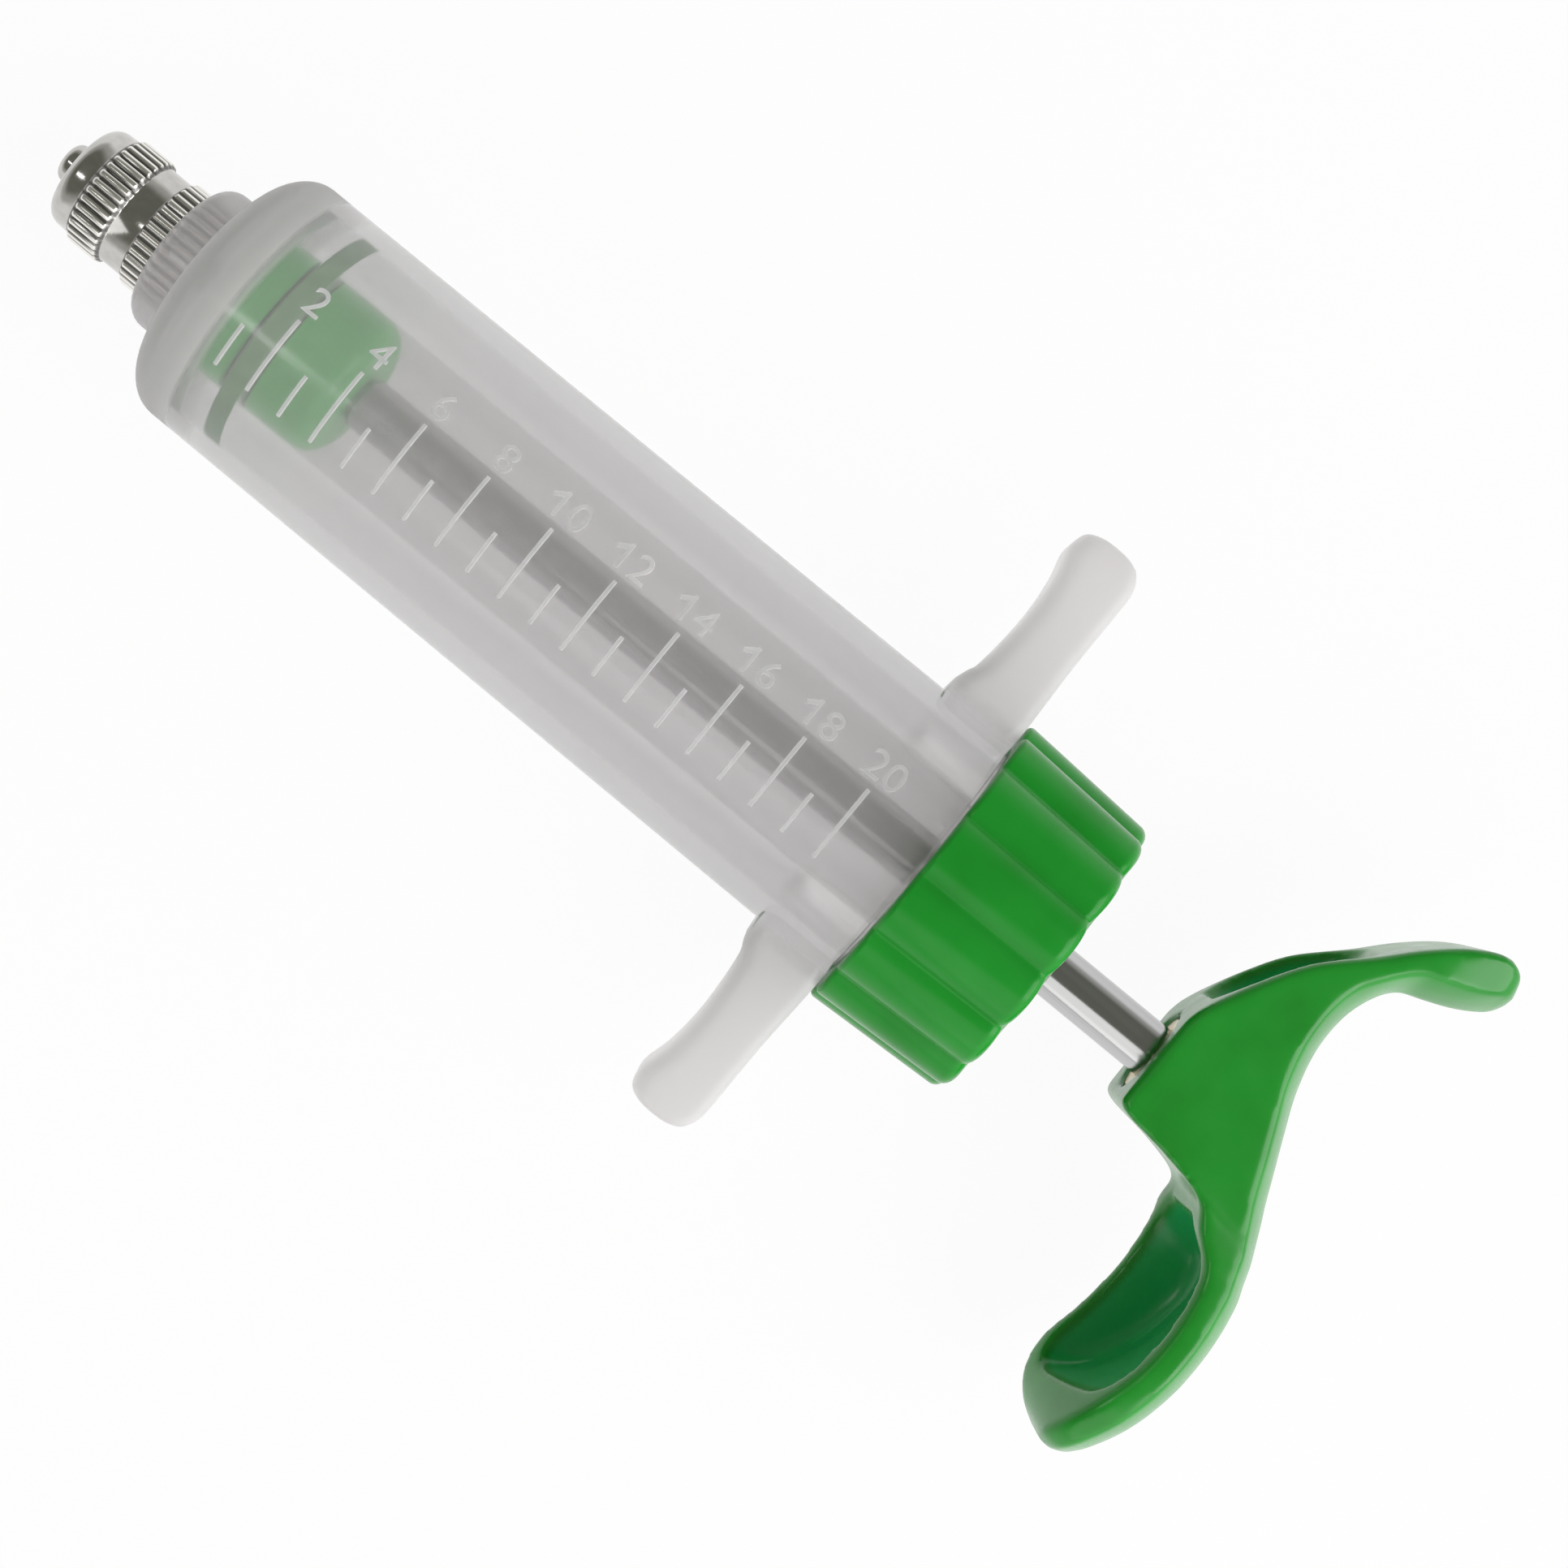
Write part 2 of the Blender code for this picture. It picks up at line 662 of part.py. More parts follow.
def handle_slice(place):
    """One slice of the handle, with a rounded back for the palm."""
    corners = handle_corners(place)
    return rounded_slice(corners, HANDLE_FRONT_EDGE, HANDLE_SIDE_EDGE, HANDLE_BACK_EDGE,
                         HANDLE_EDGE_FULLNESS)


def handle_corners(place, out=0.0, web=0.0, wall=0.0):
    """Corners of one slice; out, web and wall turn it into a pocket's slice."""
    front_x, front_y, rear_x, rear_y, depth, lean = smooth_between(handle_rows(), place)
    front = Vector((max(front_x, 0.0) * mm, front_y * mm, 0.0))
    rear = Vector((rear_x * mm, rear_y * mm, 0.0))
    along = (front - rear).normalized()
    front = front + along * out
    rear = rear + along * web
    half = depth * mm - wall
    lean_by = Vector((lean * mm, 0.0, 0.0))
    high = Vector((0.0, 0.0, half))
    return [front + high + lean_by, front - high - lean_by, rear - high, rear + high]


def handle_pocket(name, span, axis):
    """A cutter that hollows an arm from its front face and keeps the outer walls."""
    slices = []
    count = 8
    for step in range(count + 1):
        share = step / count
        place = span[0] + (span[1] - span[0]) * share
        narrowing = POCKET_WALL * 1.6 * abs(2.0 * share - 1.0) ** 4
        corners = handle_corners(place, CUTTER_REACH, POCKET_WEB + narrowing, POCKET_WALL + narrowing)
        slices.append(rounded_slice(corners, POCKET_MOUTH_EDGE, POCKET_FLOOR_EDGE, POCKET_FLOOR_EDGE))
    return lofted(name, slices, None, axis, HANDLE_FRONT)


def make_handle(look, axis):
    last = len(HANDLE_RIBS) - 1
    slices = [handle_slice(0.5 * step) for step in range(2 * last + 1)]
    handle = lofted("handle", slices, look, axis, HANDLE_FRONT)
    hole_r = INSERT_BUSH_R + PRESS
    hole_end = HANDLE_FRONT + INSERT_RECESS + INSERT_BUSH_LENGTH + SEAT
    hole = turned("insert_hole", [
        (HANDLE_FRONT - CUTTER_REACH, 0.0),
        (HANDLE_FRONT - CUTTER_REACH, hole_r),
        (hole_end, hole_r),
        (hole_end, 0.0),
    ], None, axis, steps=SMALL_STEPS, hollow=False)
    change_shape(handle, hole, "DIFFERENCE")
    change_shape(handle, handle_pocket("upper_pocket", UPPER_POCKET, axis), "DIFFERENCE")
    change_shape(handle, handle_pocket("lower_pocket", LOWER_POCKET, axis), "DIFFERENCE")
    return handle


def main():
    clear_scene()
    axis = bpy.data.objects.new("syringe_axis", None)
    bpy.context.scene.collection.objects.link(axis)
    axis.location = axis_place()

    make_barrel(finish_look("milky_plastic", (0.62, 0.61, 0.58), 0.25, transmission=0.8), axis)
    make_nozzle_insert(finish_look("insert_plating", (0.62, 0.61, 0.55), 0.15, 1.0), axis)
    make_nozzle_washer(finish_look("washer_fibre", (0.55, 0.12, 0.08), 0.6), axis)
    make_luer_lock_collar(finish_look("collar_plating", (0.66, 0.65, 0.60), 0.12, 1.0), axis)
    make_luer_cone(finish_look("cone_plating", (0.66, 0.65, 0.60), 0.12, 1.0), axis)
    make_screw_cap(finish_look("cap_green", (0.015, 0.22, 0.025), 0.2), axis)
    make_cap_seal(finish_look("seal_silicone", (0.75, 0.75, 0.72), 0.5), axis)
    make_rod_guide_bush(finish_look("bush_white", (0.8, 0.8, 0.76), 0.35), axis)
    make_rod_wiper(finish_look("wiper_rubber", (0.03, 0.03, 0.03), 0.6), axis)
    make_piston_head(finish_look("piston_head_green", (0.015, 0.22, 0.025), 0.25), axis)
    make_piston_o_ring(finish_look("ring_grey", (0.12, 0.16, 0.12), 0.5), axis)
    make_piston_body(finish_look("piston_body_green", (0.015, 0.22, 0.025), 0.25), axis)
    make_plunger_rod(finish_look("rod_steel", (0.60, 0.59, 0.57), 0.12, 1.0), axis)
    make_handle(finish_look("handle_green", (0.015, 0.22, 0.025), 0.18), axis)
    make_handle_insert(finish_look("insert_brass", (0.62, 0.52, 0.33), 0.3, 1.0), axis)


main()
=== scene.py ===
"""Looks of the plastic syringe: fine surfaces, materials, scale, threads, light and camera."""

import json
import math

import bmesh
import bpy
from mathutils import Matrix, Vector
from mathutils.bvhtree import BVHTree


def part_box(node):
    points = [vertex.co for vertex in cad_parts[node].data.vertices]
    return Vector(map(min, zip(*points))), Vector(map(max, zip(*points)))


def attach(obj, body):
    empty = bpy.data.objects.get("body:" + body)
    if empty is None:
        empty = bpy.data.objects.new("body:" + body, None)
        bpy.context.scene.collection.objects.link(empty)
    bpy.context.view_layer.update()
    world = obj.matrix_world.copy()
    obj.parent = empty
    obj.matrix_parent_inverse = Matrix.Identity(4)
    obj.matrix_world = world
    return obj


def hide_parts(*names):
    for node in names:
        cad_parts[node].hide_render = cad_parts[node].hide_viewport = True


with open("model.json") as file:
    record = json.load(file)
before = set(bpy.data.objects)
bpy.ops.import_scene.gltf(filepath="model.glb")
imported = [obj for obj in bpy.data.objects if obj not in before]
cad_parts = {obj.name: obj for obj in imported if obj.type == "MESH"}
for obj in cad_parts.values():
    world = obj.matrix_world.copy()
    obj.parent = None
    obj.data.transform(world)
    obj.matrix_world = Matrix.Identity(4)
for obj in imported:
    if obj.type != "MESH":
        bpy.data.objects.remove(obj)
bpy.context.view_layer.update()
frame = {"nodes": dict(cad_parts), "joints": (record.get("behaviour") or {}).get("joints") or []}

mm = 0.001

# An edge that bends by more degrees than this is drawn sharp
SHARP = 32.0

# Photograph: 1932 pixels square, the syringe's axis falls to the right at this angle
FRAME_PIXELS = 1932
AXIS_ANGLE = math.radians(39.5)
PIXEL_SIZE = 0.0857 * mm
FOCAL_PIXELS = 3765.0
AXIS_PIXEL_Y = 932.0
NECK_PIXEL_X = -30.0
SENSOR_WIDTH = 36.0

# Places read from the frame
JOINTS = {joint["name"]: joint for joint in frame["joints"]}
AXIS_Y, AXIS_Z = JOINTS["plunger_turn"]["pos_m"][1:]


def front_of(node):
    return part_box(node)[0].x


def rear_of(node):
    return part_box(node)[1].x


def radius_of(node):
    """Half the node's height: turned pieces have a corner at their highest point."""
    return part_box(node)[1].z - AXIS_Z


NECK = front_of("barrel")
BARREL_END = rear_of("barrel")
PISTON_FRONT = front_of("piston_head")
PISTON_REAR = rear_of("piston_body")
PISTON_R = radius_of("piston_head")
SPIGOT_END = rear_of("piston_head")
ROD_R = radius_of("plunger_rod")
CAP_FRONT = front_of("screw_cap")
CAP_REAR = rear_of("screw_cap")
HANDLE_FRONT = front_of("handle")
COLLAR_FRONT = front_of("luer_lock_collar")
COLLAR_REAR = rear_of("luer_lock_collar")
CONE_TIP = front_of("luer_cone")

# Barrel
BORE_R = 8.79 * mm
BARREL_R = 15.2 * mm
BARREL_DRAFT = 0.34 * mm
NECK_R = 8.8 * mm
NECK_LENGTH = 4.6 * mm
NECK_FILLET = 2.3 * mm
SHOULDER_FLAT = 0.5 * mm
SHOULDER_LENGTH = 4.5 * mm
BODY_FRONT = NECK + NECK_LENGTH + SHOULDER_LENGTH
BORE_FRONT = NECK + 8.0 * mm
BORE_CORNER = 1.0 * mm
FLOW_R = 1.2 * mm
THREAD_R = 14.3 * mm
THREAD_RIDGE = 0.28 * mm
THREAD_LEAD_IN = 0.8 * mm
CAP_PITCH = 3.0 * mm
REST_REAR = NECK + 101.2 * mm
DRAFT_END = REST_REAR - 10.2 * mm
REST_SPAN = 76.4 * mm
REST_HALF_DEPTH = 6.8 * mm
REST_EDGE = 2.6 * mm
INSERT_POCKET_R = 6.75 * mm
INSERT_POCKET_DEPTH = 5.5 * mm

# Haze of the barrel's plastic: shares and shades, and from where to where they change,
# along the barrel or away from its axis
WALL_TINT = 0.78
WALL_TINT_SPAN = (BORE_R - 0.4 * mm, BORE_R + 1.2 * mm)
NECK_HAZE = 0.42
NECK_HAZE_SPAN = (NECK + 4.3 * mm, NECK + 5.1 * mm)
FRONT_SHADE = 0.78
FRONT_SHADE_SPAN = (NECK + 9.0 * mm, NECK + 13.0 * mm)
FRONT_HAZE_SPAN = (NECK + 11.9 * mm, NECK + 11.1 * mm)
REST_HAZE_SPAN = (15.0 * mm, 17.5 * mm)

# Slices of a finger rest: share of the half span, front and rear sides before the
# rest's rear plane in millimetres, share of the half depth
REST_SLICES = [
    (0.00, 9.3, 0.0, 1.06),
    (0.41, 9.2, 0.0, 1.06),
    (0.52, 8.05, 0.1, 1.03),
    (0.65, 7.55, 0.3, 1.0),
    (0.75, 7.55, 0.35, 1.0),
    (0.84, 7.95, 0.35, 1.0),
    (0.905, 8.6, 0.4, 1.0),
    (0.94, 8.6, 0.65, 0.97),
    (0.975, 8.1, 1.4, 0.88),
    (0.994, 6.9, 2.7, 0.72),
    (1.0, 5.7, 3.9, 0.5),
]

# Scale
SCALE_ZERO = NECK + 9.8 * mm
ML_STEP = 82.5 * mm / 20.0
MARK_TOP = 2.07 * mm
MARK_MINOR_TOP = -1.85 * mm
MARK_BOTTOM = -6.8 * mm
MARK_WIDTH = 0.5 * mm
MARK_HEIGHT = 0.3 * mm
DIGIT_BOTTOM = 3.1 * mm
DIGIT_HEIGHT = 3.4 * mm
DIGIT_SIZE = DIGIT_HEIGHT * 1.37
DIGIT_BEVEL = 0.06 * mm
DIGIT_THINNING = 0.07 * mm
DIGIT_SHIFT = 0.2 * mm
LONGEST_EDGE = 0.5 * mm

# The slanting stroke of a 1, from the top of its stem, in millimetres
FLAG_CORNERS = [(0.15, -0.05), (-1.1, -0.95), (-0.95, -1.4), (0.15, -0.75)]
FLAG_THICKNESS = MARK_HEIGHT + 0.08 * mm

# Cap
CAP_LOBES = 14
CAP_WALL = 3.2 * mm
CAP_TAPER = 0.85 * mm
LOBE_DEPTH = 1.1 * mm
LOBE_FULLNESS = 0.55
LOBE_PHASE = math.radians(4.0)
VALLEY_ROUNDING = 0.1
VALLEY_SET_IN = 0.35 * mm
CAP_HOLE_R = 5.55 * mm
CAP_FLOOR = 2.6 * mm
CAP_FRONT_EDGE = 0.6 * mm
CAP_REAR_EDGE = 1.3 * mm
CAP_LEAD_IN = 0.8 * mm
LOBE_FADE = 3.2 * mm

# Piston and rod
PISTON_DISC = 3.5 * mm
PISTON_FLOOR = 1.75 * mm
PISTON_EDGE = 0.2 * mm
SPIGOT_R = 5.3 * mm
SPIGOT_SEAT_R = 5.45 * mm
RING_SQUEEZE = 0.03 * mm
RING_PRESS = 0.45 * mm
SCREW_R = 2.2 * mm
SCREW_HOLE_R = 2.35 * mm

# Nozzle
KNURL_R = 6.6 * mm
KNURL_GROOVES = 36
KNURL_DEPTH = 0.3 * mm
KNURL_CHAMFER = 0.4 * mm
GROOVE_POWER = 1.8
# Painted shade in a knurl's grooves and painted highlight on its ridges, as factors on the
# plating's colour
GROOVE_PAINTED_SHADE = 0.3
RIDGE_PAINTED_HIGHLIGHT = 1.5
RIDGE_ROUGHNESS = 0.25
COLLAR_R = 6.06 * mm
COLLAR_FRONT_RING = 2.9 * mm
COLLAR_REAR_RING = 2.7 * mm
COLLAR_NOSE_LENGTH = 1.6 * mm
COLLAR_NOSE_DEPTH = 1.2 * mm
COLLAR_BORE_R = 3.95 * mm
CONE_TIP_R = 2.3 * mm
CONE_BASE_R = 2.6 * mm
CONE_ROUNDING = 1.0 * mm
FLANGE_R = 5.2 * mm
FLANGE_THICKNESS = 1.85 * mm
STEM_R = 3.75 * mm
NOZZLE_GAP = 0.15 * mm

# Light of the room by the height of the direction: 0 at the horizon, 1 overhead
ROOM_LIGHT = [
    (0.0, (1.0, 1.0, 1.0)),
    (0.3, (0.5, 0.5, 0.48)),
    (0.62, (0.17, 0.175, 0.15)),
]

# Lamps: name, place, aim, sides of the rectangle and power
LAMPS = [
    ("window", (0.75, -0.9, 0.95), (0.0, 0.0, 0.0), (2.0, 1.5), 11.0),
    ("side_window", (1.2, 0.3, 0.95), (0.0, 0.0, 0.0), (1.4, 1.4), 20.0),
    ("strip", (-0.6, -0.25, 1.2), (-0.6, 0.0, 0.0), (0.5, 0.12), 0.8),
]
FLOOR_GLOW = 0.93

# Colours; a green has its base, its darker clouds and its lighter clouds
MILKY_TINT = (0.74, 0.725, 0.73)
MILKY_HAZE = (0.84, 0.825, 0.83)
HANDLE_GREENS = ((0.012, 0.265, 0.02), (0.01, 0.235, 0.016), (0.015, 0.29, 0.024))
# Painted light: the lighter, bluer green in the handle's pockets, standing in for light through
# their thin walls
POCKET_PAINTED_LIGHT = (0.02, 0.42, 0.12)
CAP_GREENS = ((0.012, 0.27, 0.022), (0.01, 0.24, 0.018), (0.015, 0.29, 0.026))
PISTON_GREENS = ((0.05, 0.37, 0.07), (0.04, 0.34, 0.06), (0.06, 0.4, 0.08))
PLATING = (0.6, 0.585, 0.56)
BRASS = (0.6, 0.5, 0.32)
RING_GREY = (0.22, 0.34, 0.215)
WIPER_BLACK = (0.03, 0.03, 0.03)
SILICONE = (0.72, 0.72, 0.69)
BUSH_WHITE = (0.75, 0.75, 0.7)
FIBRE_RED = (0.45, 0.1, 0.07)

# Handle, from the tip of the upper arm to the lower arm's end: front edge, rear edge, half
# depth and lean of each slice, in millimetres from the middle of the hub's front face
HANDLE_RIBS = [
    ((25.3, 29.1), (25.8, 26.9), 3.4, 0.0),
    ((24.0, 30.5), (24.7, 25.4), 6.2, 0.0),
    ((21.5, 30.9), (21.8, 23.6), 7.6, 0.0),
    ((18.0, 29.1), (18.8, 22.3), 8.3, 0.0),
    ((14.4, 26.0), (16.0, 21.1), 8.5, 0.0),
    ((10.9, 22.2), (14.3, 18.7), 8.5, 0.0),
    ((6.4, 17.6), (13.3, 15.1), 8.5, 0.0),
    ((3.4, 12.8), (13.4, 10.8), 8.4, 0.0),
    ((0.8, 7.5), (14.6, 6.3), 8.2, 0.0),
    ((0.0, 4.4), (16.3, 2.4), 8.0, 0.0),
    ((0.0, 0.0), (18.1, -1.5), 8.0, 0.0),
    ((0.0, -4.8), (19.6, -4.8), 8.0, 0.0),
    ((0.9, -6.55), (20.6, -6.8), 8.1, 0.0),
    ((6.8, -7.4), (21.5, -8.8), 8.3, 0.1),
    ((11.9, -8.7), (22.3, -10.7), 8.7, 0.5),
    ((13.3, -11.3), (23.0, -12.9), 9.1, 1.4),
    ((15.3, -14.4), (23.8, -15.4), 9.5, 2.5),
    ((16.2, -20.0), (24.4, -20.0), 10.0, 2.8),
    ((15.9, -26.0), (24.4, -25.8), 10.0, 3.0),
    ((14.8, -31.1), (23.4, -31.3), 9.6, 2.9),
    ((14.4, -34.9), (21.8, -35.6), 8.4, 2.1),
    ((14.9, -37.4), (20.5, -38.1), 6.2, 1.0),
    ((16.3, -38.8), (18.9, -39.0), 3.2, 0.2),
]

# Pockets of the handle's arms: the first and the last slice that each takes up
UPPER_POCKET = (4.7, 7.8)
LOWER_POCKET = (14.7, 19.9)
HANDLE_FRONT_EDGE = 0.9 * mm
HANDLE_SIDE_EDGE = 2.7 * mm
HANDLE_BACK_EDGE = 6.4 * mm
HANDLE_EDGE_FULLNESS = 0.2
POCKET_WALL = 1.7 * mm
POCKET_WEB = 2.6 * mm
POCKET_SCOOP = 5.0 * mm
SCOOP_START = 0.35
SCOOP_POWER = 1.4
POCKET_REACH = 3.0 * mm
POCKET_MOUTH_EDGE = 1.5 * mm
POCKET_FLOOR_EDGE = 2.4 * mm
POCKET_SLICES = 30
SLICES_PER_RIB = 6
EVEN_SIZE = 0.32 * mm
EASE_STEPS = 13
INSERT_BUSH_R = 4.65 * mm
INSERT_BUSH_GAP = 0.12 * mm


def on_axis(x, radius, angle):
    """A point round the syringe's axis; angle 0 is up, and it grows towards -Y."""
    return Vector((x, AXIS_Y - radius * math.sin(angle), AXIS_Z + radius * math.cos(angle)))


def link(name, mesh):
    piece = bpy.data.objects.new(name, mesh)
    bpy.context.scene.collection.objects.link(piece)
    return piece


def from_bmesh(name, bm, sharp=SHARP):
    bmesh.ops.recalc_face_normals(bm, faces=bm.faces)
    mesh = bpy.data.meshes.new(name)
    bm.to_mesh(mesh)
    bm.free()
    mesh.shade_smooth()
    mesh.set_sharp_from_angle(angle=math.radians(sharp))
    return link(name, mesh)


def turned(name, profile, steps=128, hollow=True, groove=None, sharp=SHARP, phase=0.0):
    """Turn a profile round the syringe's axis.

    Its points are x, radius, depth of the grooves and how far the grooves pull x forward.
    groove gives the share of that depth at a share of the turn.
    """
    bm = bmesh.new()
    rings = []
    for point in profile:
        x, radius, depth, set_in = (*point, 0.0, 0.0)[:4]
        if radius <= 0.0:
            rings.append([bm.verts.new(on_axis(x, 0.0, 0.0))])
            continue
        ring = []
        for step in range(steps):
            share = groove(step / steps) if groove else 0.0
            angle = math.tau * step / steps + phase
            ring.append(bm.verts.new(on_axis(x - set_in * share, radius - depth * share, angle)))
        rings.append(ring)
    pairs = list(zip(rings, rings[1:]))
    if hollow:
        pairs.append((rings[-1], rings[0]))
    for one, two in pairs:
        for step in range(steps):
            after = (step + 1) % steps
            corners = [one[step % len(one)], one[after % len(one)],
                       two[after % len(two)], two[step % len(two)]]
            bm.faces.new(list(dict.fromkeys(corners)))
    return from_bmesh(name, bm, sharp)


def quarter(x, radius, width, height, steps=8, rising=True):
    """Points of a quarter ellipse along a profile, rising or falling towards the back."""
    points = []
    for step in range(steps + 1):
        angle = 0.5 * math.pi * step / steps
        if rising:
            points.append((x + width * (1.0 - math.cos(angle)), radius + height * math.sin(angle)))
        else:
            points.append((x + width * math.sin(angle), radius + height * math.cos(angle)))
    return points


def rounded_slice(corners, front_edge, side_edge, back_edge, fullness=1.0, steps=6):
    """Round the corners of a slice: high and low in front, then low and high at the back.

    A front corner is cut by the same length both ways, and a back corner by its own length
    along the side and along the back, but by no more than a share of the side's length.
    A fullness below 1 flattens the back corners.
    """
    most = 0.48
    cuts = [(front_edge, front_edge), (front_edge, front_edge),
            (side_edge, back_edge), (back_edge, side_edge)]
    points = []
    for index, corner in enumerate(corners):
        before = corners[index - 1] - corner
        after = corners[(index + 1) % 4] - corner
        start = corner + before * min(cuts[index][0] / before.length, most)
        end = corner + after * min(cuts[index][1] / after.length, most)
        if index > 1:
            corner = corner * fullness + (start + end) * 0.5 * (1.0 - fullness)
        for step in range(steps + 1):
            share = step / steps
            points.append(start * (1.0 - share) ** 2 + corner * 2.0 * share * (1.0 - share)
                          + end * share ** 2)
    return points


def bridge(bm, slices):
    """Join slices of equal point counts into one closed body."""
    rings = [[bm.verts.new(point) for point in points] for points in slices]
    for one, two in zip(rings, rings[1:]):
        for index in range(len(one)):
            after = (index + 1) % len(one)
            bm.faces.new((one[index], one[after], two[after], two[index]))
    bm.faces.new(rings[0])
    bm.faces.new(list(reversed(rings[-1])))


def lofted(name, slices, sharp=SHARP):
    bm = bmesh.new()
    bridge(bm, slices)
    return from_bmesh(name, bm, sharp)


def smooth_between(rows, place):
    """Read a row of numbers at a fractional place, on a smooth curve through the rows."""
    index = min(int(place), len(rows) - 2)
    share = place - index
    before = rows[max(index - 1, 0)]
    one = rows[index]
    two = rows[index + 1]
    after = rows[min(index + 2, len(rows) - 1)]
    values = []
    for a, b, c, d in zip(before, one, two, after):
        slope = c - a
        square = 2.0 * a - 5.0 * b + 4.0 * c - d
        cube = 3.0 * b - a - 3.0 * c + d
        values.append(0.5 * (2.0 * b + slope * share + square * share ** 2 + cube * share ** 3))
    return values


def combine(piece, tool, operation):
    """Join a tool to a piece, or cut it out, and delete the tool."""
    step = piece.modifiers.new("combine", "BOOLEAN")
    step.operation = operation
    step.solver = "EXACT"
    step.object = tool
    apply_modifiers(piece)
    bpy.data.objects.remove(tool)


def apply_modifiers(piece):
    """Keep the piece's evaluated mesh in place of its modifiers."""
    depsgraph = bpy.context.evaluated_depsgraph_get()
    mesh = bpy.data.meshes.new_from_object(piece.evaluated_get(depsgraph))
    piece.modifiers.clear()
    piece.data = mesh


def helix(name, radius, ridge, pitch, turns, start, width):
    """A right-handed thread's ridge: a trapezium carried along a helix.

    Its height is negative for an inner thread. It fades out over a quarter turn at both ends.
    """
    steps_per_turn = 72
    foot = 0.5 * width
    flat = 0.22 * width
    root = radius - ridge * 0.25
    slices = []
    count = int(steps_per_turn * turns)
    for step in range(count + 1):
        share = step / count
        angle = -math.tau * turns * share
        x = start + pitch * turns * share
        fade = min(1.0, share * turns * 4.0, (1.0 - share) * turns * 4.0)
        crest = radius + ridge * max(fade, 0.03)
        slices.append([
            on_axis(x - foot, root, angle), on_axis(x - flat, crest, angle),
            on_axis(x + flat, crest, angle), on_axis(x + foot, root, angle),
        ])
    return lofted(name, slices, sharp=40.0)


class Look:
    """A procedural material and short ways to add its nodes."""

    def __init__(self, name):
        self.material = bpy.data.materials.new(name)
        self.material.use_nodes = True
        self.tree = self.material.node_tree
        self.shader = self.tree.nodes["Principled BSDF"]
        self.output = self.tree.nodes["Material Output"]
        self.place = self.add("ShaderNodeTexCoord").outputs["Object"]

    def add(self, kind, **settings):
        node = self.tree.nodes.new(kind)
        for key, value in settings.items():
            setattr(node, key, value)
        return node

    def join(self, source, target):
        self.tree.links.new(source, target)

    def axes(self):
        """The X, Y and Z of a point of the object."""
        node = self.add("ShaderNodeSeparateXYZ")
        self.join(self.place, node.inputs["Vector"])
        return node.outputs["X"], node.outputs["Y"], node.outputs["Z"]

    def set(self, **values):
        for key, value in values.items():
            self.shader.inputs[key.replace("_", " ")].default_value = value

    def noise(self, size, detail=3.0, stretch=(1.0, 1.0, 1.0)):
        """Noise whose features are about `size` metres across."""
        mapping = self.add("ShaderNodeMapping")
        mapping.inputs["Scale"].default_value = stretch
        self.join(self.place, mapping.inputs["Vector"])
        noise = self.add("ShaderNodeTexNoise")
        noise.inputs["Scale"].default_value = 1.0 / size
        noise.inputs["Detail"].default_value = detail
        self.join(mapping.outputs["Vector"], noise.inputs["Vector"])
        return noise.outputs["Fac"]

    def ramp(self, source, *stops):
        """A colour ramp; each stop is (place, colour)."""
        ramp = self.add("ShaderNodeValToRGB")
        elements = ramp.color_ramp.elements
        while len(elements) < len(stops):
            elements.new(0.5)
        for element, (place, colour) in zip(elements, stops):
            element.position = place
            element.color = (*colour, 1.0)
        self.join(source, ramp.inputs["Fac"])
        return ramp.outputs["Color"]

    def span(self, source, low, high):
        """Map 0 to 1 onto low to high."""
        node = self.add("ShaderNodeMapRange")
        node.inputs["To Min"].default_value = low
        node.inputs["To Max"].default_value = high
        self.join(source, node.inputs["Value"])
        return node.outputs["Result"]

    def between(self, source, start, end, low, high):
        """Rise smoothly from low to high while the source goes from start to end."""
        node = self.add("ShaderNodeMapRange", interpolation_type="SMOOTHSTEP")
        node.inputs["From Min"].default_value = start
        node.inputs["From Max"].default_value = end
        node.inputs["To Min"].default_value = low
        node.inputs["To Max"].default_value = high
        self.join(source, node.inputs["Value"])
        return node.outputs["Result"]

    def calculate(self, operation, *inputs):
        """A Math node whose inputs are numbers or sockets."""
        node = self.add("ShaderNodeMath", operation=operation)
        for socket, value in zip(node.inputs, inputs):
            if isinstance(value, float):
                socket.default_value = value
            else:
                self.join(value, socket)
        return node.outputs[0]

    def blend(self, share, one, two):
        """Mix two shaders; share is a number or a socket."""
        node = self.add("ShaderNodeMixShader")
        if isinstance(share, float):
            node.inputs["Fac"].default_value = share
        else:
            self.join(share, node.inputs["Fac"])
        self.join(one, node.inputs[1])
        self.join(two, node.inputs[2])
        return node.outputs["Shader"]

    def mix(self, share, one, two):
        """Mix two colours."""
        node = self.add("ShaderNodeMix", data_type="RGBA")
        self.join(share, node.inputs["Factor"])
        self.join(one, node.inputs["A"])
        self.join(two, node.inputs["B"])
        return node.outputs["Result"]

    def bump(self, source, height):
        node = self.add("ShaderNodeBump")
        node.inputs["Distance"].default_value = height
        self.join(source, node.inputs["Height"])
        self.join(node.outputs["Normal"], self.shader.inputs["Normal"])


def grey(value):
    return (value, value, value)


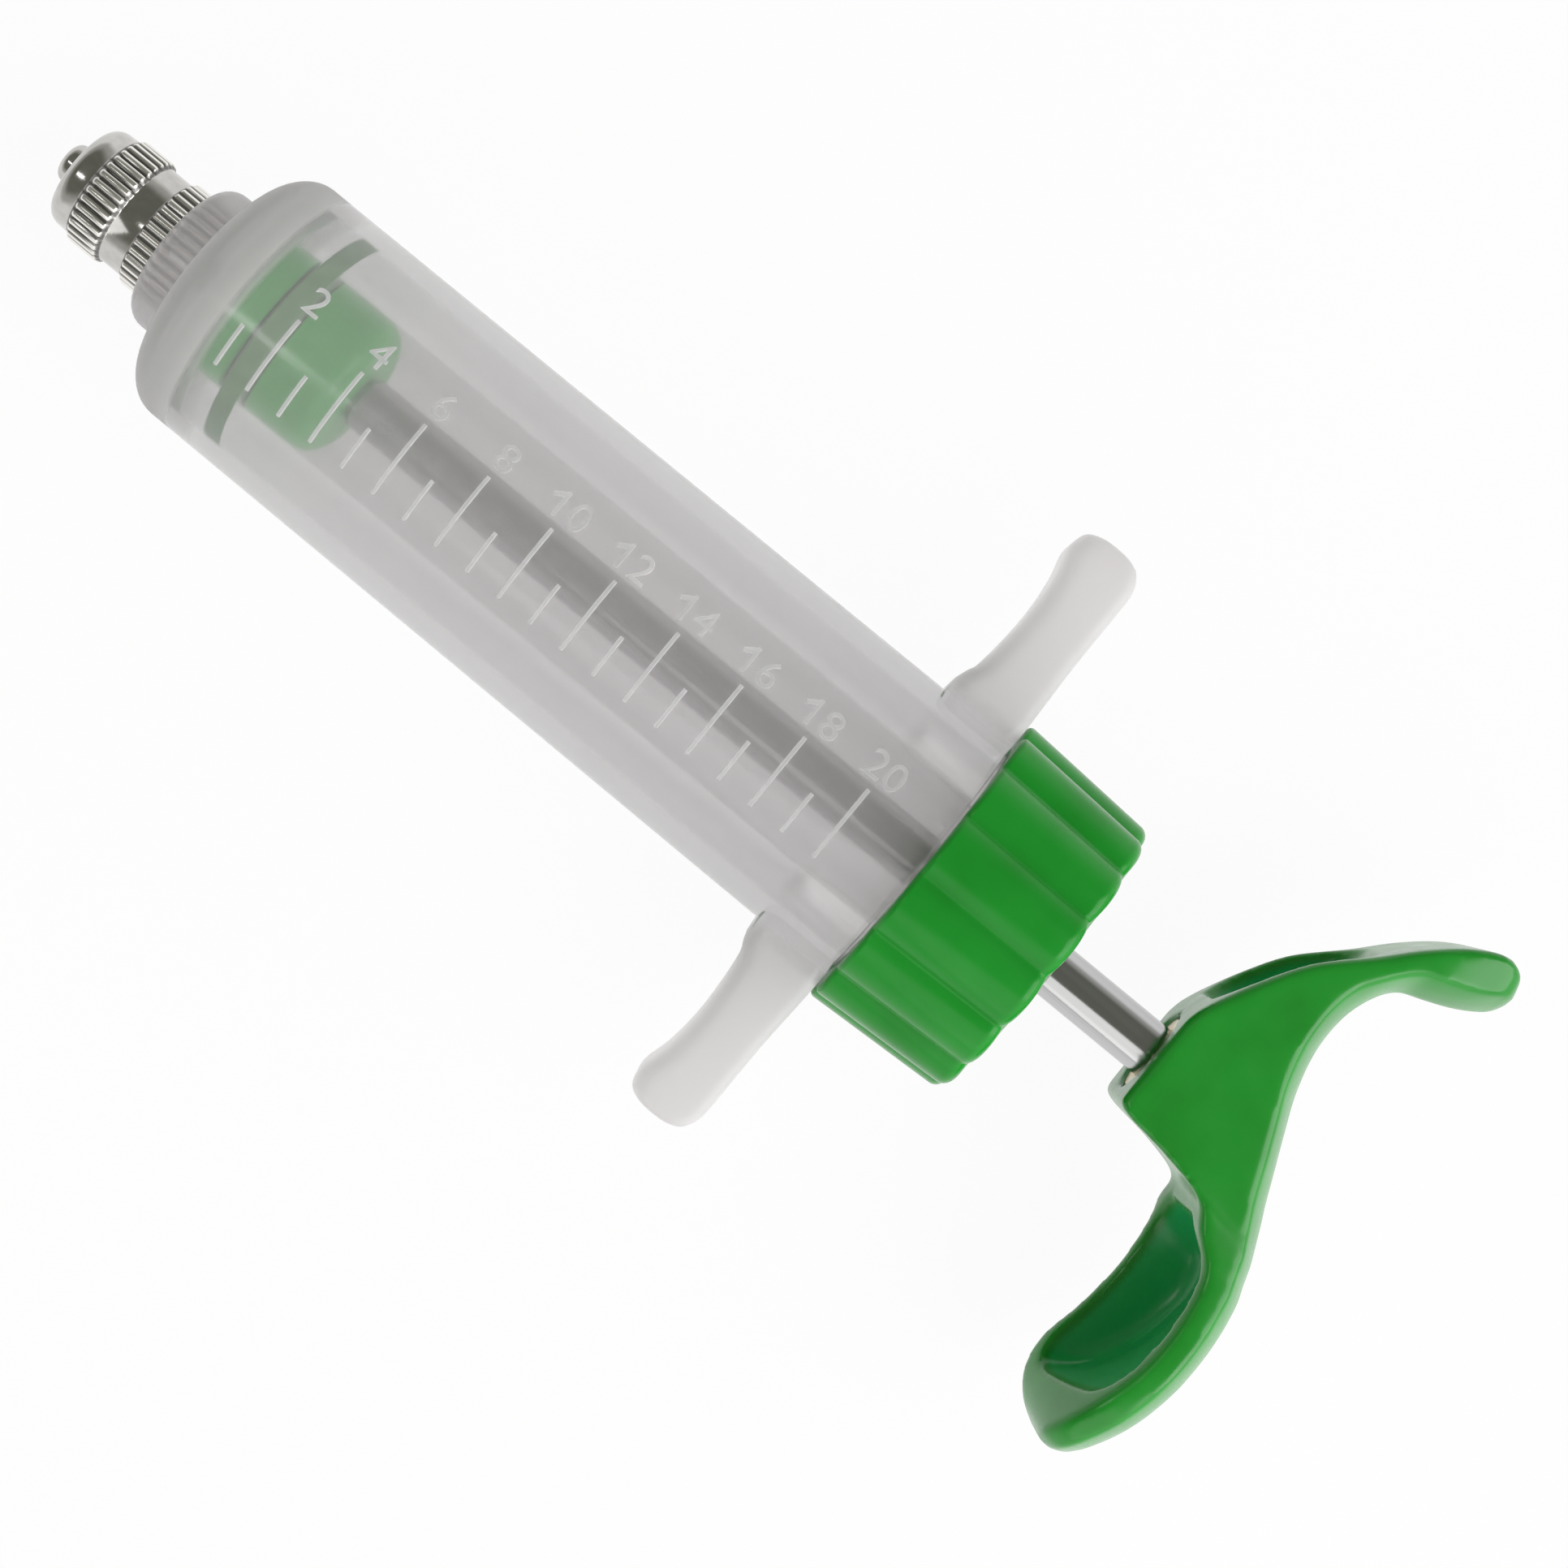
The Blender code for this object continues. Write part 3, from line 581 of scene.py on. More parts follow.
def green_plastic(name, greens, shine, inner=None):
    """Moulded green plastic; inner is a lighter green painted into its pockets, painted light that
    stands in for the light coming through their thin walls.
    """
    look = Look(name)
    base, dark, light = greens
    clouds = look.noise(9.0 * mm, 2.0)
    colour = look.ramp(clouds, (0.3, dark), (0.5, base), (0.72, light))
    if inner:
        # Painted light: faces that lie under the uncut shell, inside the pockets, get the lighter
        # inner green
        depth = look.add("ShaderNodeAttribute", attribute_name="under_shell").outputs["Fac"]
        pocket_light_mask = look.between(depth, 0.5 * mm, 1.6 * mm, 0.0, 1.0)
        painted_pocket_light = look.ramp(depth, (0.0, inner), (1.0, grey(1.0)))
        colour = look.mix(pocket_light_mask, colour, painted_pocket_light)
    look.join(colour, look.shader.inputs["Base Color"])
    smears = look.noise(2.5 * mm)
    look.join(look.span(smears, 0.16, 0.3), look.shader.inputs["Roughness"])
    look.set(IOR=1.5, Specular_IOR_Level=shine, Sheen_Weight=0.12, Sheen_Roughness=0.35)
    grain = look.noise(1.6 * mm)
    look.bump(grain, 0.004 * mm)
    return look.material


def milky_plastic(name, tint, haze, share, solid_share, roughness):
    """See-through plastic with a milky share, which lets lamp light reach what it holds.

    The milky share grows to solid_share in the thick finger rests and in front of the bore,
    and is lower in the neck, where the metal insert shows. The tint is darker beside the
    bore, where the way through the plastic is longer, and so is the haze in front.
    """
    look = Look(name)
    along, side, _ = look.axes()
    off_axis = look.calculate("ABSOLUTE", look.calculate("SUBTRACT", side, AXIS_Y))
    beside_bore = look.between(off_axis, *WALL_TINT_SPAN, 0.0, 1.0)
    colour = look.ramp(beside_bore, (0.0, tint), (1.0, [c * WALL_TINT for c in tint]))
    look.join(colour, look.shader.inputs["Base Color"])
    smears = look.noise(5.0 * mm)
    look.join(look.span(smears, roughness * 0.9, roughness * 1.1),
              look.shader.inputs["Roughness"])
    look.set(IOR=1.49, Transmission_Weight=1.0)
    behind = look.between(along, *FRONT_SHADE_SPAN, 0.0, 1.0)
    milk_colour = look.ramp(behind, (0.0, [c * FRONT_SHADE for c in haze]), (1.0, haze))
    milk = look.add("ShaderNodeBsdfDiffuse")
    look.join(milk_colour, milk.inputs["Color"])
    through = look.add("ShaderNodeBsdfTranslucent")
    look.join(milk_colour, through.inputs["Color"])
    milky = look.blend(0.5, milk.outputs["BSDF"], through.outputs["BSDF"])
    in_rest = look.between(off_axis, *REST_HAZE_SPAN, share, solid_share)
    in_shoulder = look.between(along, *NECK_HAZE_SPAN, NECK_HAZE, solid_share)
    in_front = look.between(along, *FRONT_HAZE_SPAN, share, 1.0)
    thick = look.calculate("MAXIMUM", in_rest, look.calculate("MINIMUM", in_shoulder, in_front))
    body = look.blend(thick, look.shader.outputs["BSDF"], milky)
    shade = look.add("ShaderNodeBsdfTransparent")
    shade.inputs["Color"].default_value = (*grey(0.9), 1.0)
    rays = look.add("ShaderNodeLightPath")
    final = look.blend(rays.outputs["Is Shadow Ray"], body, shade.outputs["BSDF"])
    look.join(final, look.output.inputs["Surface"])
    return look.material


def plated_metal(name, colour, roughness):
    """Plating; on a knurl, painted shade darkens the grooves and a painted highlight brightens the
    ridges, which are also satin.
    """
    look = Look(name)
    _, side, height = look.axes()
    squares = []
    for axis, middle in ((side, AXIS_Y), (height, AXIS_Z)):
        off = look.calculate("ABSOLUTE", look.calculate("SUBTRACT", axis, middle))
        squares.append(look.calculate("POWER", off, 2.0))
    radius = look.calculate("SQRT", look.calculate("ADD", *squares))
    # Painted shade for a knurl's grooves and painted highlight for its crests
    groove = [c * GROOVE_PAINTED_SHADE for c in colour]
    crest = [c * RIDGE_PAINTED_HIGHLIGHT for c in colour]
    knurl_light_mask = look.between(radius, KNURL_R - KNURL_DEPTH, KNURL_R - 0.02 * mm, 0.0, 1.0)
    ridge = look.ramp(knurl_light_mask, (0.0, groove), (0.9, crest))
    spots = look.noise(1.2 * mm, 4.0)
    smooth = look.ramp(spots, (0.35, [c * 0.86 for c in colour]), (0.7, colour))
    knurl_from = COLLAR_R + 0.02 * mm
    knurl_to = COLLAR_R + 0.1 * mm
    knurled = look.between(radius, knurl_from, knurl_to, 0.0, 1.0)
    look.join(look.mix(knurled, smooth, ridge), look.shader.inputs["Base Color"])
    satin = look.between(radius, knurl_from, knurl_to, roughness, RIDGE_ROUGHNESS)
    look.join(satin, look.shader.inputs["Roughness"])
    look.set(Metallic=1.0)
    turning_lines = look.noise(0.5 * mm, stretch=(4.0, 1.0, 1.0))
    look.bump(turning_lines, 0.003 * mm)
    return look.material


def polished_steel(name):
    """Steel with faint lines along the rod, and finer ones round it from its grinding."""
    look = Look(name)
    lines = look.noise(0.9 * mm, stretch=(0.02, 1.0, 1.0))
    colour = look.ramp(lines, (0.3, grey(0.48)), (0.7, grey(0.56)))
    look.join(colour, look.shader.inputs["Base Color"])
    look.join(look.span(lines, 0.1, 0.2), look.shader.inputs["Roughness"])
    look.set(Metallic=1.0)
    grinding = look.noise(0.35 * mm, 2.0, stretch=(6.0, 1.0, 1.0))
    look.bump(grinding, 0.0015 * mm)
    return look.material


def soft_finish(name, colour, roughness):
    """Rubber, fibre and low-gloss plastic."""
    look = Look(name)
    base = look.ramp(look.noise(1.5 * mm, 4.0), (0.3, [c * 0.85 for c in colour]), (0.7, colour))
    look.join(base, look.shader.inputs["Base Color"])
    look.join(look.span(look.noise(0.8 * mm), roughness * 0.85, roughness * 1.15),
              look.shader.inputs["Roughness"])
    grain = look.noise(0.3 * mm)
    look.bump(grain, 0.01 * mm)
    return look.material


def dress(piece, material, body, slot, *nodes):
    """Give a piece its material, the body it rides on and the nodes it stands for."""
    piece.data.materials.clear()
    piece.data.materials.append(material)
    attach(piece, body)
    if nodes:
        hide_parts(*nodes)


def rest_form():
    """Both finger rests in one body through the barrel."""
    one_side = []
    count = 40
    for step in range(count + 1):
        place = step * (len(REST_SLICES) - 1) / count
        span, front, rear, depth = smooth_between(REST_SLICES, place)
        up = 0.5 * REST_SPAN * span
        half = REST_HALF_DEPTH * depth
        front_x = REST_REAR - front * mm
        rear_x = REST_REAR - rear * mm
        corners = [
            Vector((front_x, up, half)), Vector((front_x, up, -half)),
            Vector((rear_x, up, -half)), Vector((rear_x, up, half)),
        ]
        rear_edge = REST_EDGE * 0.6
        one_side.append(rounded_slice(corners, REST_EDGE, rear_edge, rear_edge))
    other_side = [[Vector((p.x, -p.y, p.z)) for p in points]
                  for points in reversed(one_side[1:])]
    shift = Vector((0.0, AXIS_Y, AXIS_Z))
    slices = [[p + shift for p in points] for points in other_side + one_side[1:]]
    return lofted("rest_form", slices)


def barrel_shell(material):
    """The moulded barrel: neck, shoulder, drafted tube, finger rests and the thread's root."""
    steps = 160
    corner = 0.3 * mm
    rear_r = BARREL_R + BARREL_DRAFT
    rear_edge = 0.6 * mm
    rear_bevel = 0.15 * mm
    shoulder_x = NECK + NECK_LENGTH
    shoulder_r = NECK_R + SHOULDER_FLAT
    profile = [(NECK, 0.0), (NECK, NECK_R - NECK_FILLET)]
    profile += quarter(NECK, NECK_R - NECK_FILLET, NECK_FILLET, NECK_FILLET)[1:]
    profile += [(shoulder_x - corner, NECK_R), (shoulder_x, NECK_R + corner)]
    profile += quarter(shoulder_x, shoulder_r, SHOULDER_LENGTH, BARREL_R - shoulder_r, steps=14)
    for share in (0.25, 0.5, 0.75, 1.0):
        x = BODY_FRONT + (DRAFT_END - BODY_FRONT) * share
        profile.append((x, BARREL_R + BARREL_DRAFT * share))
    profile += [
        (REST_REAR - rear_edge, rear_r),
        (REST_REAR - rear_bevel, rear_r - rear_bevel),
        (REST_REAR, rear_r - rear_edge),
        (REST_REAR, THREAD_R + corner),
        (REST_REAR + corner, THREAD_R),
        (BARREL_END - THREAD_LEAD_IN, THREAD_R),
        (BARREL_END, THREAD_R - THREAD_LEAD_IN),
        (BARREL_END, 0.0),
    ]
    shell = turned("barrel_shell", profile, steps=steps, hollow=False)
    combine(shell, rest_form(), "UNION")
    cut = 0.5 * mm
    pocket_end = NECK + INSERT_POCKET_DEPTH
    inside = [
        (NECK - cut, 0.0),
        (NECK - cut, INSERT_POCKET_R),
        (pocket_end, INSERT_POCKET_R),
        (pocket_end, FLOW_R),
        (BORE_FRONT, FLOW_R),
    ]
    inside += quarter(BORE_FRONT, BORE_R - BORE_CORNER, BORE_CORNER, BORE_CORNER, steps=6)
    inside += [(BARREL_END + cut, BORE_R), (BARREL_END + cut, 0.0)]
    combine(shell, turned("bore_form", inside, steps=steps, hollow=False), "DIFFERENCE")
    shell.data.shade_smooth()
    shell.data.set_sharp_from_angle(angle=math.radians(SHARP))
    dress(shell, material, "barrel", "milky_plastic", "barrel")
    thread = helix("barrel_thread", THREAD_R, THREAD_RIDGE, CAP_PITCH, turns=3.6,
                   start=REST_REAR + 1.3 * mm, width=1.3 * mm)
    dress(thread, material, "barrel", "milky_plastic")


def wrap_on_barrel(mesh, x, base):
    """Bend a flat mesh round the barrel: its x along it, its y round it from base, its z out."""
    for vertex in mesh.vertices:
        along, up, out = vertex.co
        place = x + along
        radius = barrel_radius_at(place)
        angle = (base + up) / radius
        vertex.co = on_axis(place, radius + out, -angle)


def barrel_radius_at(x):
    share = (x - BODY_FRONT) / (DRAFT_END - BODY_FRONT)
    return BARREL_R + BARREL_DRAFT * min(max(share, 0.0), 1.0)


def arc_height(up):
    """Distance round the barrel of a point that the photograph shows this far above the axis."""
    return BARREL_R * math.asin(up / BARREL_R)


def add_mark(bm, x, bottom, top):
    """One raised bar with sloping flanks, cut into short steps so that it bends smoothly."""
    base = 0.5 * MARK_WIDTH
    crest = 0.3 * MARK_WIDTH
    sunk = -0.12 * mm
    low_end = 0.2
    slices = []
    count = 14
    for step in range(count + 1):
        up = bottom + (top - bottom) * step / count
        high = MARK_HEIGHT * (low_end if step in (0, count) else 1.0)
        across = [(x - base, sunk), (x - crest, high), (x + crest, high), (x + base, sunk)]
        points = []
        for along, out in across:
            radius = barrel_radius_at(along)
            points.append(on_axis(along, radius + out, -up / radius))
        slices.append(points)
    bridge(bm, slices)


def scale_marks(material):
    bm = bmesh.new()
    for ml in range(1, 21):
        top = MARK_TOP if ml % 2 == 0 else MARK_MINOR_TOP
        add_mark(bm, SCALE_ZERO + ml * ML_STEP, arc_height(MARK_BOTTOM), arc_height(top))
    dress(from_bmesh("scale_marks", bm), material, "barrel", "milky_plastic")


def numeral_mesh(number):
    """A number as a flat solid of the scale's digit height, centred on its width."""
    curve = bpy.data.curves.new("numeral", "FONT")
    curve.body = str(number)
    curve.align_x = "CENTER"
    curve.size = DIGIT_SIZE
    curve.extrude = MARK_HEIGHT * 0.5
    curve.bevel_depth = DIGIT_BEVEL
    curve.offset = -DIGIT_THINNING
    curve.resolution_u = 6
    text = bpy.data.objects.new("numeral", curve)
    bpy.context.scene.collection.objects.link(text)
    depsgraph = bpy.context.evaluated_depsgraph_get()
    mesh = bpy.data.meshes.new_from_object(text.evaluated_get(depsgraph))
    bpy.data.objects.remove(text)
    return mesh


def add_flag(bm):
    """Add the slanting stroke in front of a 1, which the built-in lettering lacks."""
    stem_width = 0.4 * mm
    stem = min(v.co.x for v in bm.verts)
    top = max(v.co.y for v in bm.verts if v.co.x < stem + stem_width)
    low, high = ([bm.verts.new((stem + x * mm, top + y * mm, z)) for x, y in FLAG_CORNERS]
                 for z in (-0.5 * FLAG_THICKNESS, 0.5 * FLAG_THICKNESS))
    for index in range(4):
        after = (index + 1) % 4
        bm.faces.new((low[index], low[after], high[after], high[index]))
    bm.faces.new(high)
    bm.faces.new(list(reversed(low)))


def scale_numerals(material):
    whole = bmesh.new()
    for number in range(2, 21, 2):
        mesh = numeral_mesh(number)
        bm = bmesh.new()
        bm.from_mesh(mesh)
        if 10 <= number < 20:
            add_flag(bm)
        long_edges = [edge for edge in bm.edges if edge.calc_length() > LONGEST_EDGE]
        bmesh.ops.subdivide_edges(bm, edges=long_edges, cuts=2)
        bm.to_mesh(mesh)
        bm.free()
        middle = SCALE_ZERO + number * ML_STEP + DIGIT_SHIFT
        wrap_on_barrel(mesh, middle, arc_height(DIGIT_BOTTOM))
        whole.from_mesh(mesh)
        bpy.data.meshes.remove(mesh)
    numerals = from_bmesh("scale_numerals", whole, sharp=45.0)
    dress(numerals, material, "barrel", "milky_plastic")


def knurl(turn):
    """Straight grooves between crowned ridges."""
    return (0.5 - 0.5 * math.cos(math.tau * turn * KNURL_GROOVES)) ** GROOVE_POWER


def lobes(turn):
    """Convex lobes with narrow, rounded valleys between them."""
    rise = math.hypot(math.sin(math.pi * turn * CAP_LOBES), VALLEY_ROUNDING) ** LOBE_FULLNESS
    low = VALLEY_ROUNDING ** LOBE_FULLNESS
    high = math.hypot(1.0, VALLEY_ROUNDING) ** LOBE_FULLNESS
    return 1.0 - (rise - low) / (high - low)


def nozzle_insert(material):
    front = front_of("nozzle_insert")
    rear = rear_of("nozzle_insert")
    edge = 0.25 * mm
    bore = STEM_R + NOZZLE_GAP
    recess_r = FLANGE_R + NOZZLE_GAP
    recess = front + 1.2 * mm
    profile = [
        (front, recess_r),
        (front, KNURL_R - edge),
        (front + edge, KNURL_R, KNURL_DEPTH),
        (rear - KNURL_CHAMFER, KNURL_R, KNURL_DEPTH),
        (rear, KNURL_R - KNURL_CHAMFER),
        (rear, bore),
        (recess, bore),
        (recess, recess_r),
    ]
    piece = turned("insert_metal", profile, steps=KNURL_GROOVES * 12, groove=knurl)
    dress(piece, material, "barrel", "insert_plating", "nozzle_insert")


def lock_collar(material):
    knurl_front = COLLAR_FRONT + COLLAR_FRONT_RING
    knurl_end = COLLAR_REAR - COLLAR_REAR_RING
    floor = COLLAR_REAR - FLANGE_THICKNESS - 0.3 * mm
    counterbore = FLANGE_R + NOZZLE_GAP
    skirt_end = front_of("nozzle_insert") - 0.05 * mm
    edge = 0.12 * mm
    mouth = 0.35 * mm
    profile = [(COLLAR_FRONT + mouth, COLLAR_BORE_R), (COLLAR_FRONT, COLLAR_BORE_R + mouth)]
    profile += quarter(COLLAR_FRONT, COLLAR_R - COLLAR_NOSE_DEPTH, COLLAR_NOSE_LENGTH,
                       COLLAR_NOSE_DEPTH)
    profile += [
        (knurl_front - edge, COLLAR_R),
        (knurl_front, COLLAR_R + 0.5 * edge),
        (knurl_front + KNURL_CHAMFER, KNURL_R - 0.5 * edge, KNURL_DEPTH),
        (knurl_front + KNURL_CHAMFER + edge, KNURL_R, KNURL_DEPTH),
        (knurl_end - KNURL_CHAMFER - edge, KNURL_R, KNURL_DEPTH),
        (knurl_end - KNURL_CHAMFER, KNURL_R - 0.5 * edge, KNURL_DEPTH),
        (knurl_end, COLLAR_R + 0.5 * edge),
        (knurl_end + edge, COLLAR_R),
        (skirt_end - edge, COLLAR_R),
        (skirt_end, COLLAR_R - edge),
        (skirt_end, counterbore),
        (floor, counterbore),
        (floor, COLLAR_BORE_R),
    ]
    piece = turned("collar_metal", profile, steps=KNURL_GROOVES * 12, groove=knurl)
    dress(piece, material, "nozzle", "collar_plating", "luer_lock_collar")
    thread = helix("collar_thread", COLLAR_BORE_R, ridge=-0.35 * mm, pitch=2.5 * mm, turns=2.2,
                   start=COLLAR_FRONT + 0.9 * mm, width=0.9 * mm)
    dress(thread, material, "nozzle", "collar_plating")


def cone(material):
    edge = 0.25 * mm
    fillet = 0.6 * mm
    thread_root = STEM_R - 0.3 * mm
    flange_front = COLLAR_REAR - FLANGE_THICKNESS
    stem_end = rear_of("luer_cone")
    profile = [(CONE_TIP + edge, FLOW_R), (CONE_TIP, FLOW_R + 0.3 * edge)]
    profile += quarter(CONE_TIP, CONE_TIP_R - CONE_ROUNDING, CONE_ROUNDING, CONE_ROUNDING)
    profile += [
        (flange_front - fillet, CONE_BASE_R),
        (flange_front, CONE_BASE_R + fillet),
        (flange_front, FLANGE_R),
        (COLLAR_REAR, FLANGE_R),
        (COLLAR_REAR, thread_root),
        (stem_end - edge, thread_root),
        (stem_end, thread_root - edge),
        (stem_end, FLOW_R),
    ]
    piece = turned("cone_metal", profile, steps=96)
    dress(piece, material, "nozzle", "cone_plating", "luer_cone")
    thread = helix("stem_thread", thread_root, ridge=0.28 * mm, pitch=1.0 * mm, turns=5.5,
                   start=COLLAR_REAR + 1.0 * mm, width=0.8 * mm)
    dress(thread, material, "nozzle", "cone_plating")


def cap(material):
    inner = THREAD_R + 0.35 * mm
    corner = 0.5 * mm
    hole_edge = 0.3 * mm
    floor = CAP_REAR - CAP_FLOOR
    rear_r = THREAD_R + CAP_WALL
    front_r = rear_r + CAP_TAPER
    near_rear_r = rear_r + CAP_TAPER / (CAP_REAR - CAP_FRONT) * CAP_REAR_EDGE
    profile = [(CAP_FRONT, inner + CAP_LEAD_IN)]
    for x, r in quarter(CAP_FRONT, front_r - CAP_FRONT_EDGE, CAP_FRONT_EDGE, CAP_FRONT_EDGE,
                        steps=5):
        profile.append((x, r, LOBE_DEPTH))
    profile.append((CAP_REAR - CAP_REAR_EDGE, near_rear_r, LOBE_DEPTH, VALLEY_SET_IN))
    for x, r in quarter(CAP_REAR - CAP_REAR_EDGE, near_rear_r - CAP_REAR_EDGE, CAP_REAR_EDGE,
                        CAP_REAR_EDGE, rising=False)[1:]:
        depth = LOBE_DEPTH * (0.75 + 0.25 * (CAP_REAR - x) / CAP_REAR_EDGE)
        profile.append((x, r, depth, VALLEY_SET_IN))
    profile += [
        (CAP_REAR, near_rear_r - LOBE_FADE, LOBE_DEPTH * 0.2),
        (CAP_REAR, CAP_HOLE_R + hole_edge),
        (CAP_REAR - hole_edge, CAP_HOLE_R),
        (floor, CAP_HOLE_R),
        (floor, inner - corner),
        (floor - corner, inner),
        (CAP_FRONT + CAP_LEAD_IN, inner),
    ]
    piece = turned("cap_shell", profile, steps=CAP_LOBES * 48, groove=lobes, sharp=45.0,
                   phase=LOBE_PHASE)
    dress(piece, material, "cap", "cap_green", "screw_cap")
    thread = helix("cap_thread", inner, -THREAD_RIDGE, CAP_PITCH, turns=3.2,
                   start=REST_REAR + 2.9 * mm, width=1.2 * mm)
    dress(thread, material, "cap", "cap_green")


def piston_head(material):
    """The front disc and the spigot behind it, round which the sealing ring lies."""
    disc_end = PISTON_FRONT + PISTON_DISC
    floor = PISTON_FRONT + PISTON_FLOOR
    edge = 0.6 * mm
    profile = [(PISTON_FRONT, 0.0)]
    profile += quarter(PISTON_FRONT, PISTON_R - edge, edge, edge, steps=5)
    profile += [
        (disc_end - PISTON_EDGE, PISTON_R),
        (disc_end, PISTON_R - PISTON_EDGE),
        (disc_end, SPIGOT_R),
        (SPIGOT_END, SPIGOT_R),
        (SPIGOT_END, SCREW_HOLE_R),
        (floor, SCREW_HOLE_R),
        (floor, 0.0),
    ]
    piece = turned("piston_head_fine", profile, steps=96, hollow=False)
    dress(piece, material, "plunger", "piston_head_green", "piston_head")


def piston_ring(material):
    """The sealing ring, squeezed flat where it presses against the bore."""
    low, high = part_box("piston_o_ring")
    middle = 0.5 * (low.x + high.x)
    section = 0.5 * (high.x - low.x)
    ring_r = BORE_R - section + RING_PRESS
    furthest = section - RING_PRESS + RING_SQUEEZE
    profile = []
    count = 48
    for step in range(count):
        angle = math.tau * step / count
        reach = min(section * math.sin(angle), furthest)
        profile.append((middle + section * math.cos(angle), ring_r + reach))
    piece = turned("piston_ring_fine", profile, steps=96)
    dress(piece, material, "piston_ring", "ring_grey", "piston_o_ring")


def piston_body(material):
    """The rear half, which sits on the spigot and has a rounded back."""
    front = front_of("piston_body")
    seat = SPIGOT_END + 0.3 * mm
    edge = 2.0 * mm
    profile = [
        (front, SPIGOT_SEAT_R),
        (front, PISTON_R - PISTON_EDGE),
        (front + PISTON_EDGE, PISTON_R),
    ]
    profile += quarter(PISTON_REAR - edge, PISTON_R - edge, edge, edge, rising=False)
    profile += [(PISTON_REAR, SCREW_HOLE_R), (seat, SCREW_HOLE_R), (seat, SPIGOT_SEAT_R)]
    piece = turned("piston_body_fine", profile, steps=96)
    dress(piece, material, "plunger", "piston_body_green", "piston_body")


def rod(material):
    edge = 0.4 * mm
    tip = front_of("plunger_rod")
    end = rear_of("plunger_rod")
    shoulder = PISTON_REAR + 0.3 * mm
    handle_shoulder = HANDLE_FRONT + 2.4 * mm
    profile = [
        (tip, 0.0),
        (tip, SCREW_R - edge),
        (tip + edge, SCREW_R),
        (shoulder, SCREW_R),
        (shoulder, ROD_R - edge),
        (shoulder + edge, ROD_R),
        (handle_shoulder, ROD_R),
        (handle_shoulder, SCREW_R),
        (end - edge, SCREW_R),
        (end, SCREW_R - edge),
        (end, 0.0),
    ]
    piece = turned("rod_steel", profile, steps=96, hollow=False)
    dress(piece, material, "plunger", "rod_steel", "plunger_rod")


def handle_corners(place, out=0.0, web=0.0, wall=0.0):
    """Corners of one slice of the handle; out, web and wall turn it into a pocket's slice."""
    rows = [(f[0], f[1], r[0], r[1], depth, lean) for f, r, depth, lean in HANDLE_RIBS]
    front_x, front_y, rear_x, rear_y, depth, lean = smooth_between(rows, place)
    origin = Vector((HANDLE_FRONT, AXIS_Y, AXIS_Z))
    front = Vector((max(front_x, 0.0) * mm, front_y * mm, 0.0))
    rear = Vector((rear_x * mm, rear_y * mm, 0.0))
    along = (front - rear).normalized()
    front = origin + front + along * out
    rear = origin + rear + along * web
    high = Vector((0.0, 0.0, depth * mm - wall))
    lean_by = Vector((lean * mm, 0.0, 0.0))
    return [front + high + lean_by, front - high - lean_by, rear - high, rear + high]


def handle_slice(place):
    """One slice of the handle, with a rounded back for the palm."""
    return rounded_slice(handle_corners(place), HANDLE_FRONT_EDGE, HANDLE_SIDE_EDGE,
                         HANDLE_BACK_EDGE, HANDLE_EDGE_FULLNESS)


def handle_pocket(span, scoop):
    """A form that cuts a pocket into the span of slices, and reaches out of its mouth.

    It narrows towards both ends, and its floor rises by scoop towards the last slice.
    """
    first, last = span
    slices = []
    for step in range(POCKET_SLICES + 1):
        share = step / POCKET_SLICES
        narrowing = POCKET_WALL * 1.6 * abs(2.0 * share - 1.0) ** 4
        rise = scoop * max(0.0, (share - SCOOP_START) / (1.0 - SCOOP_START)) ** SCOOP_POWER
        corners = handle_corners(first + (last - first) * share, out=POCKET_REACH,
                                 web=POCKET_WEB + narrowing + rise, wall=POCKET_WALL + narrowing)
        slices.append(rounded_slice(corners, POCKET_MOUTH_EDGE, POCKET_FLOOR_EDGE,
                                    POCKET_FLOOR_EDGE))
    return lofted("pocket_form", slices)


def mark_inner_faces(piece, shell):
    """Store how deep each point lies under the uncut shell, for the painted light in the pockets.
    """
    depth = piece.data.attributes.new("under_shell", "FLOAT", "POINT")
    for point, row in zip(piece.data.vertices, depth.data):
        row.value = shell.find_nearest(point.co)[3]


def palm_handle(material):
    """The moulded handle: its slices and pockets, with edges eased as moulding leaves them."""
    count = SLICES_PER_RIB * (len(HANDLE_RIBS) - 1)
    slices = [handle_slice(step / SLICES_PER_RIB) for step in range(count + 1)]
    handle = lofted("handle_shell", slices)
    uncut = handle.data
    shell = BVHTree.FromPolygons([point.co.copy() for point in uncut.vertices],
                                 [face.vertices[:] for face in uncut.polygons])
    hole_r = INSERT_BUSH_R + 0.1 * mm
    hole_front = HANDLE_FRONT - 3.0 * mm
    hole_end = rear_of("handle_insert") + 0.3 * mm
    hole = turned("hole_form", [
        (hole_front, 0.0),
        (hole_front, hole_r),
        (hole_end, hole_r),
        (hole_end, 0.0),
    ], steps=96, hollow=False)
    for span, scoop in ((UPPER_POCKET, 0.0), (LOWER_POCKET, POCKET_SCOOP)):
        combine(handle, handle_pocket(span, scoop), "DIFFERENCE")
    combine(handle, hole, "DIFFERENCE")
    remesh = handle.modifiers.new("even", "REMESH")
    remesh.mode = "VOXEL"
    remesh.voxel_size = EVEN_SIZE
    remesh.use_smooth_shade = True
    ease = handle.modifiers.new("ease", "SMOOTH")
    ease.factor = 0.5
    ease.iterations = EASE_STEPS
    apply_modifiers(handle)
    handle.data.shade_smooth()
    mark_inner_faces(handle, shell)
    dress(handle, material, "plunger", "handle_green", "handle")


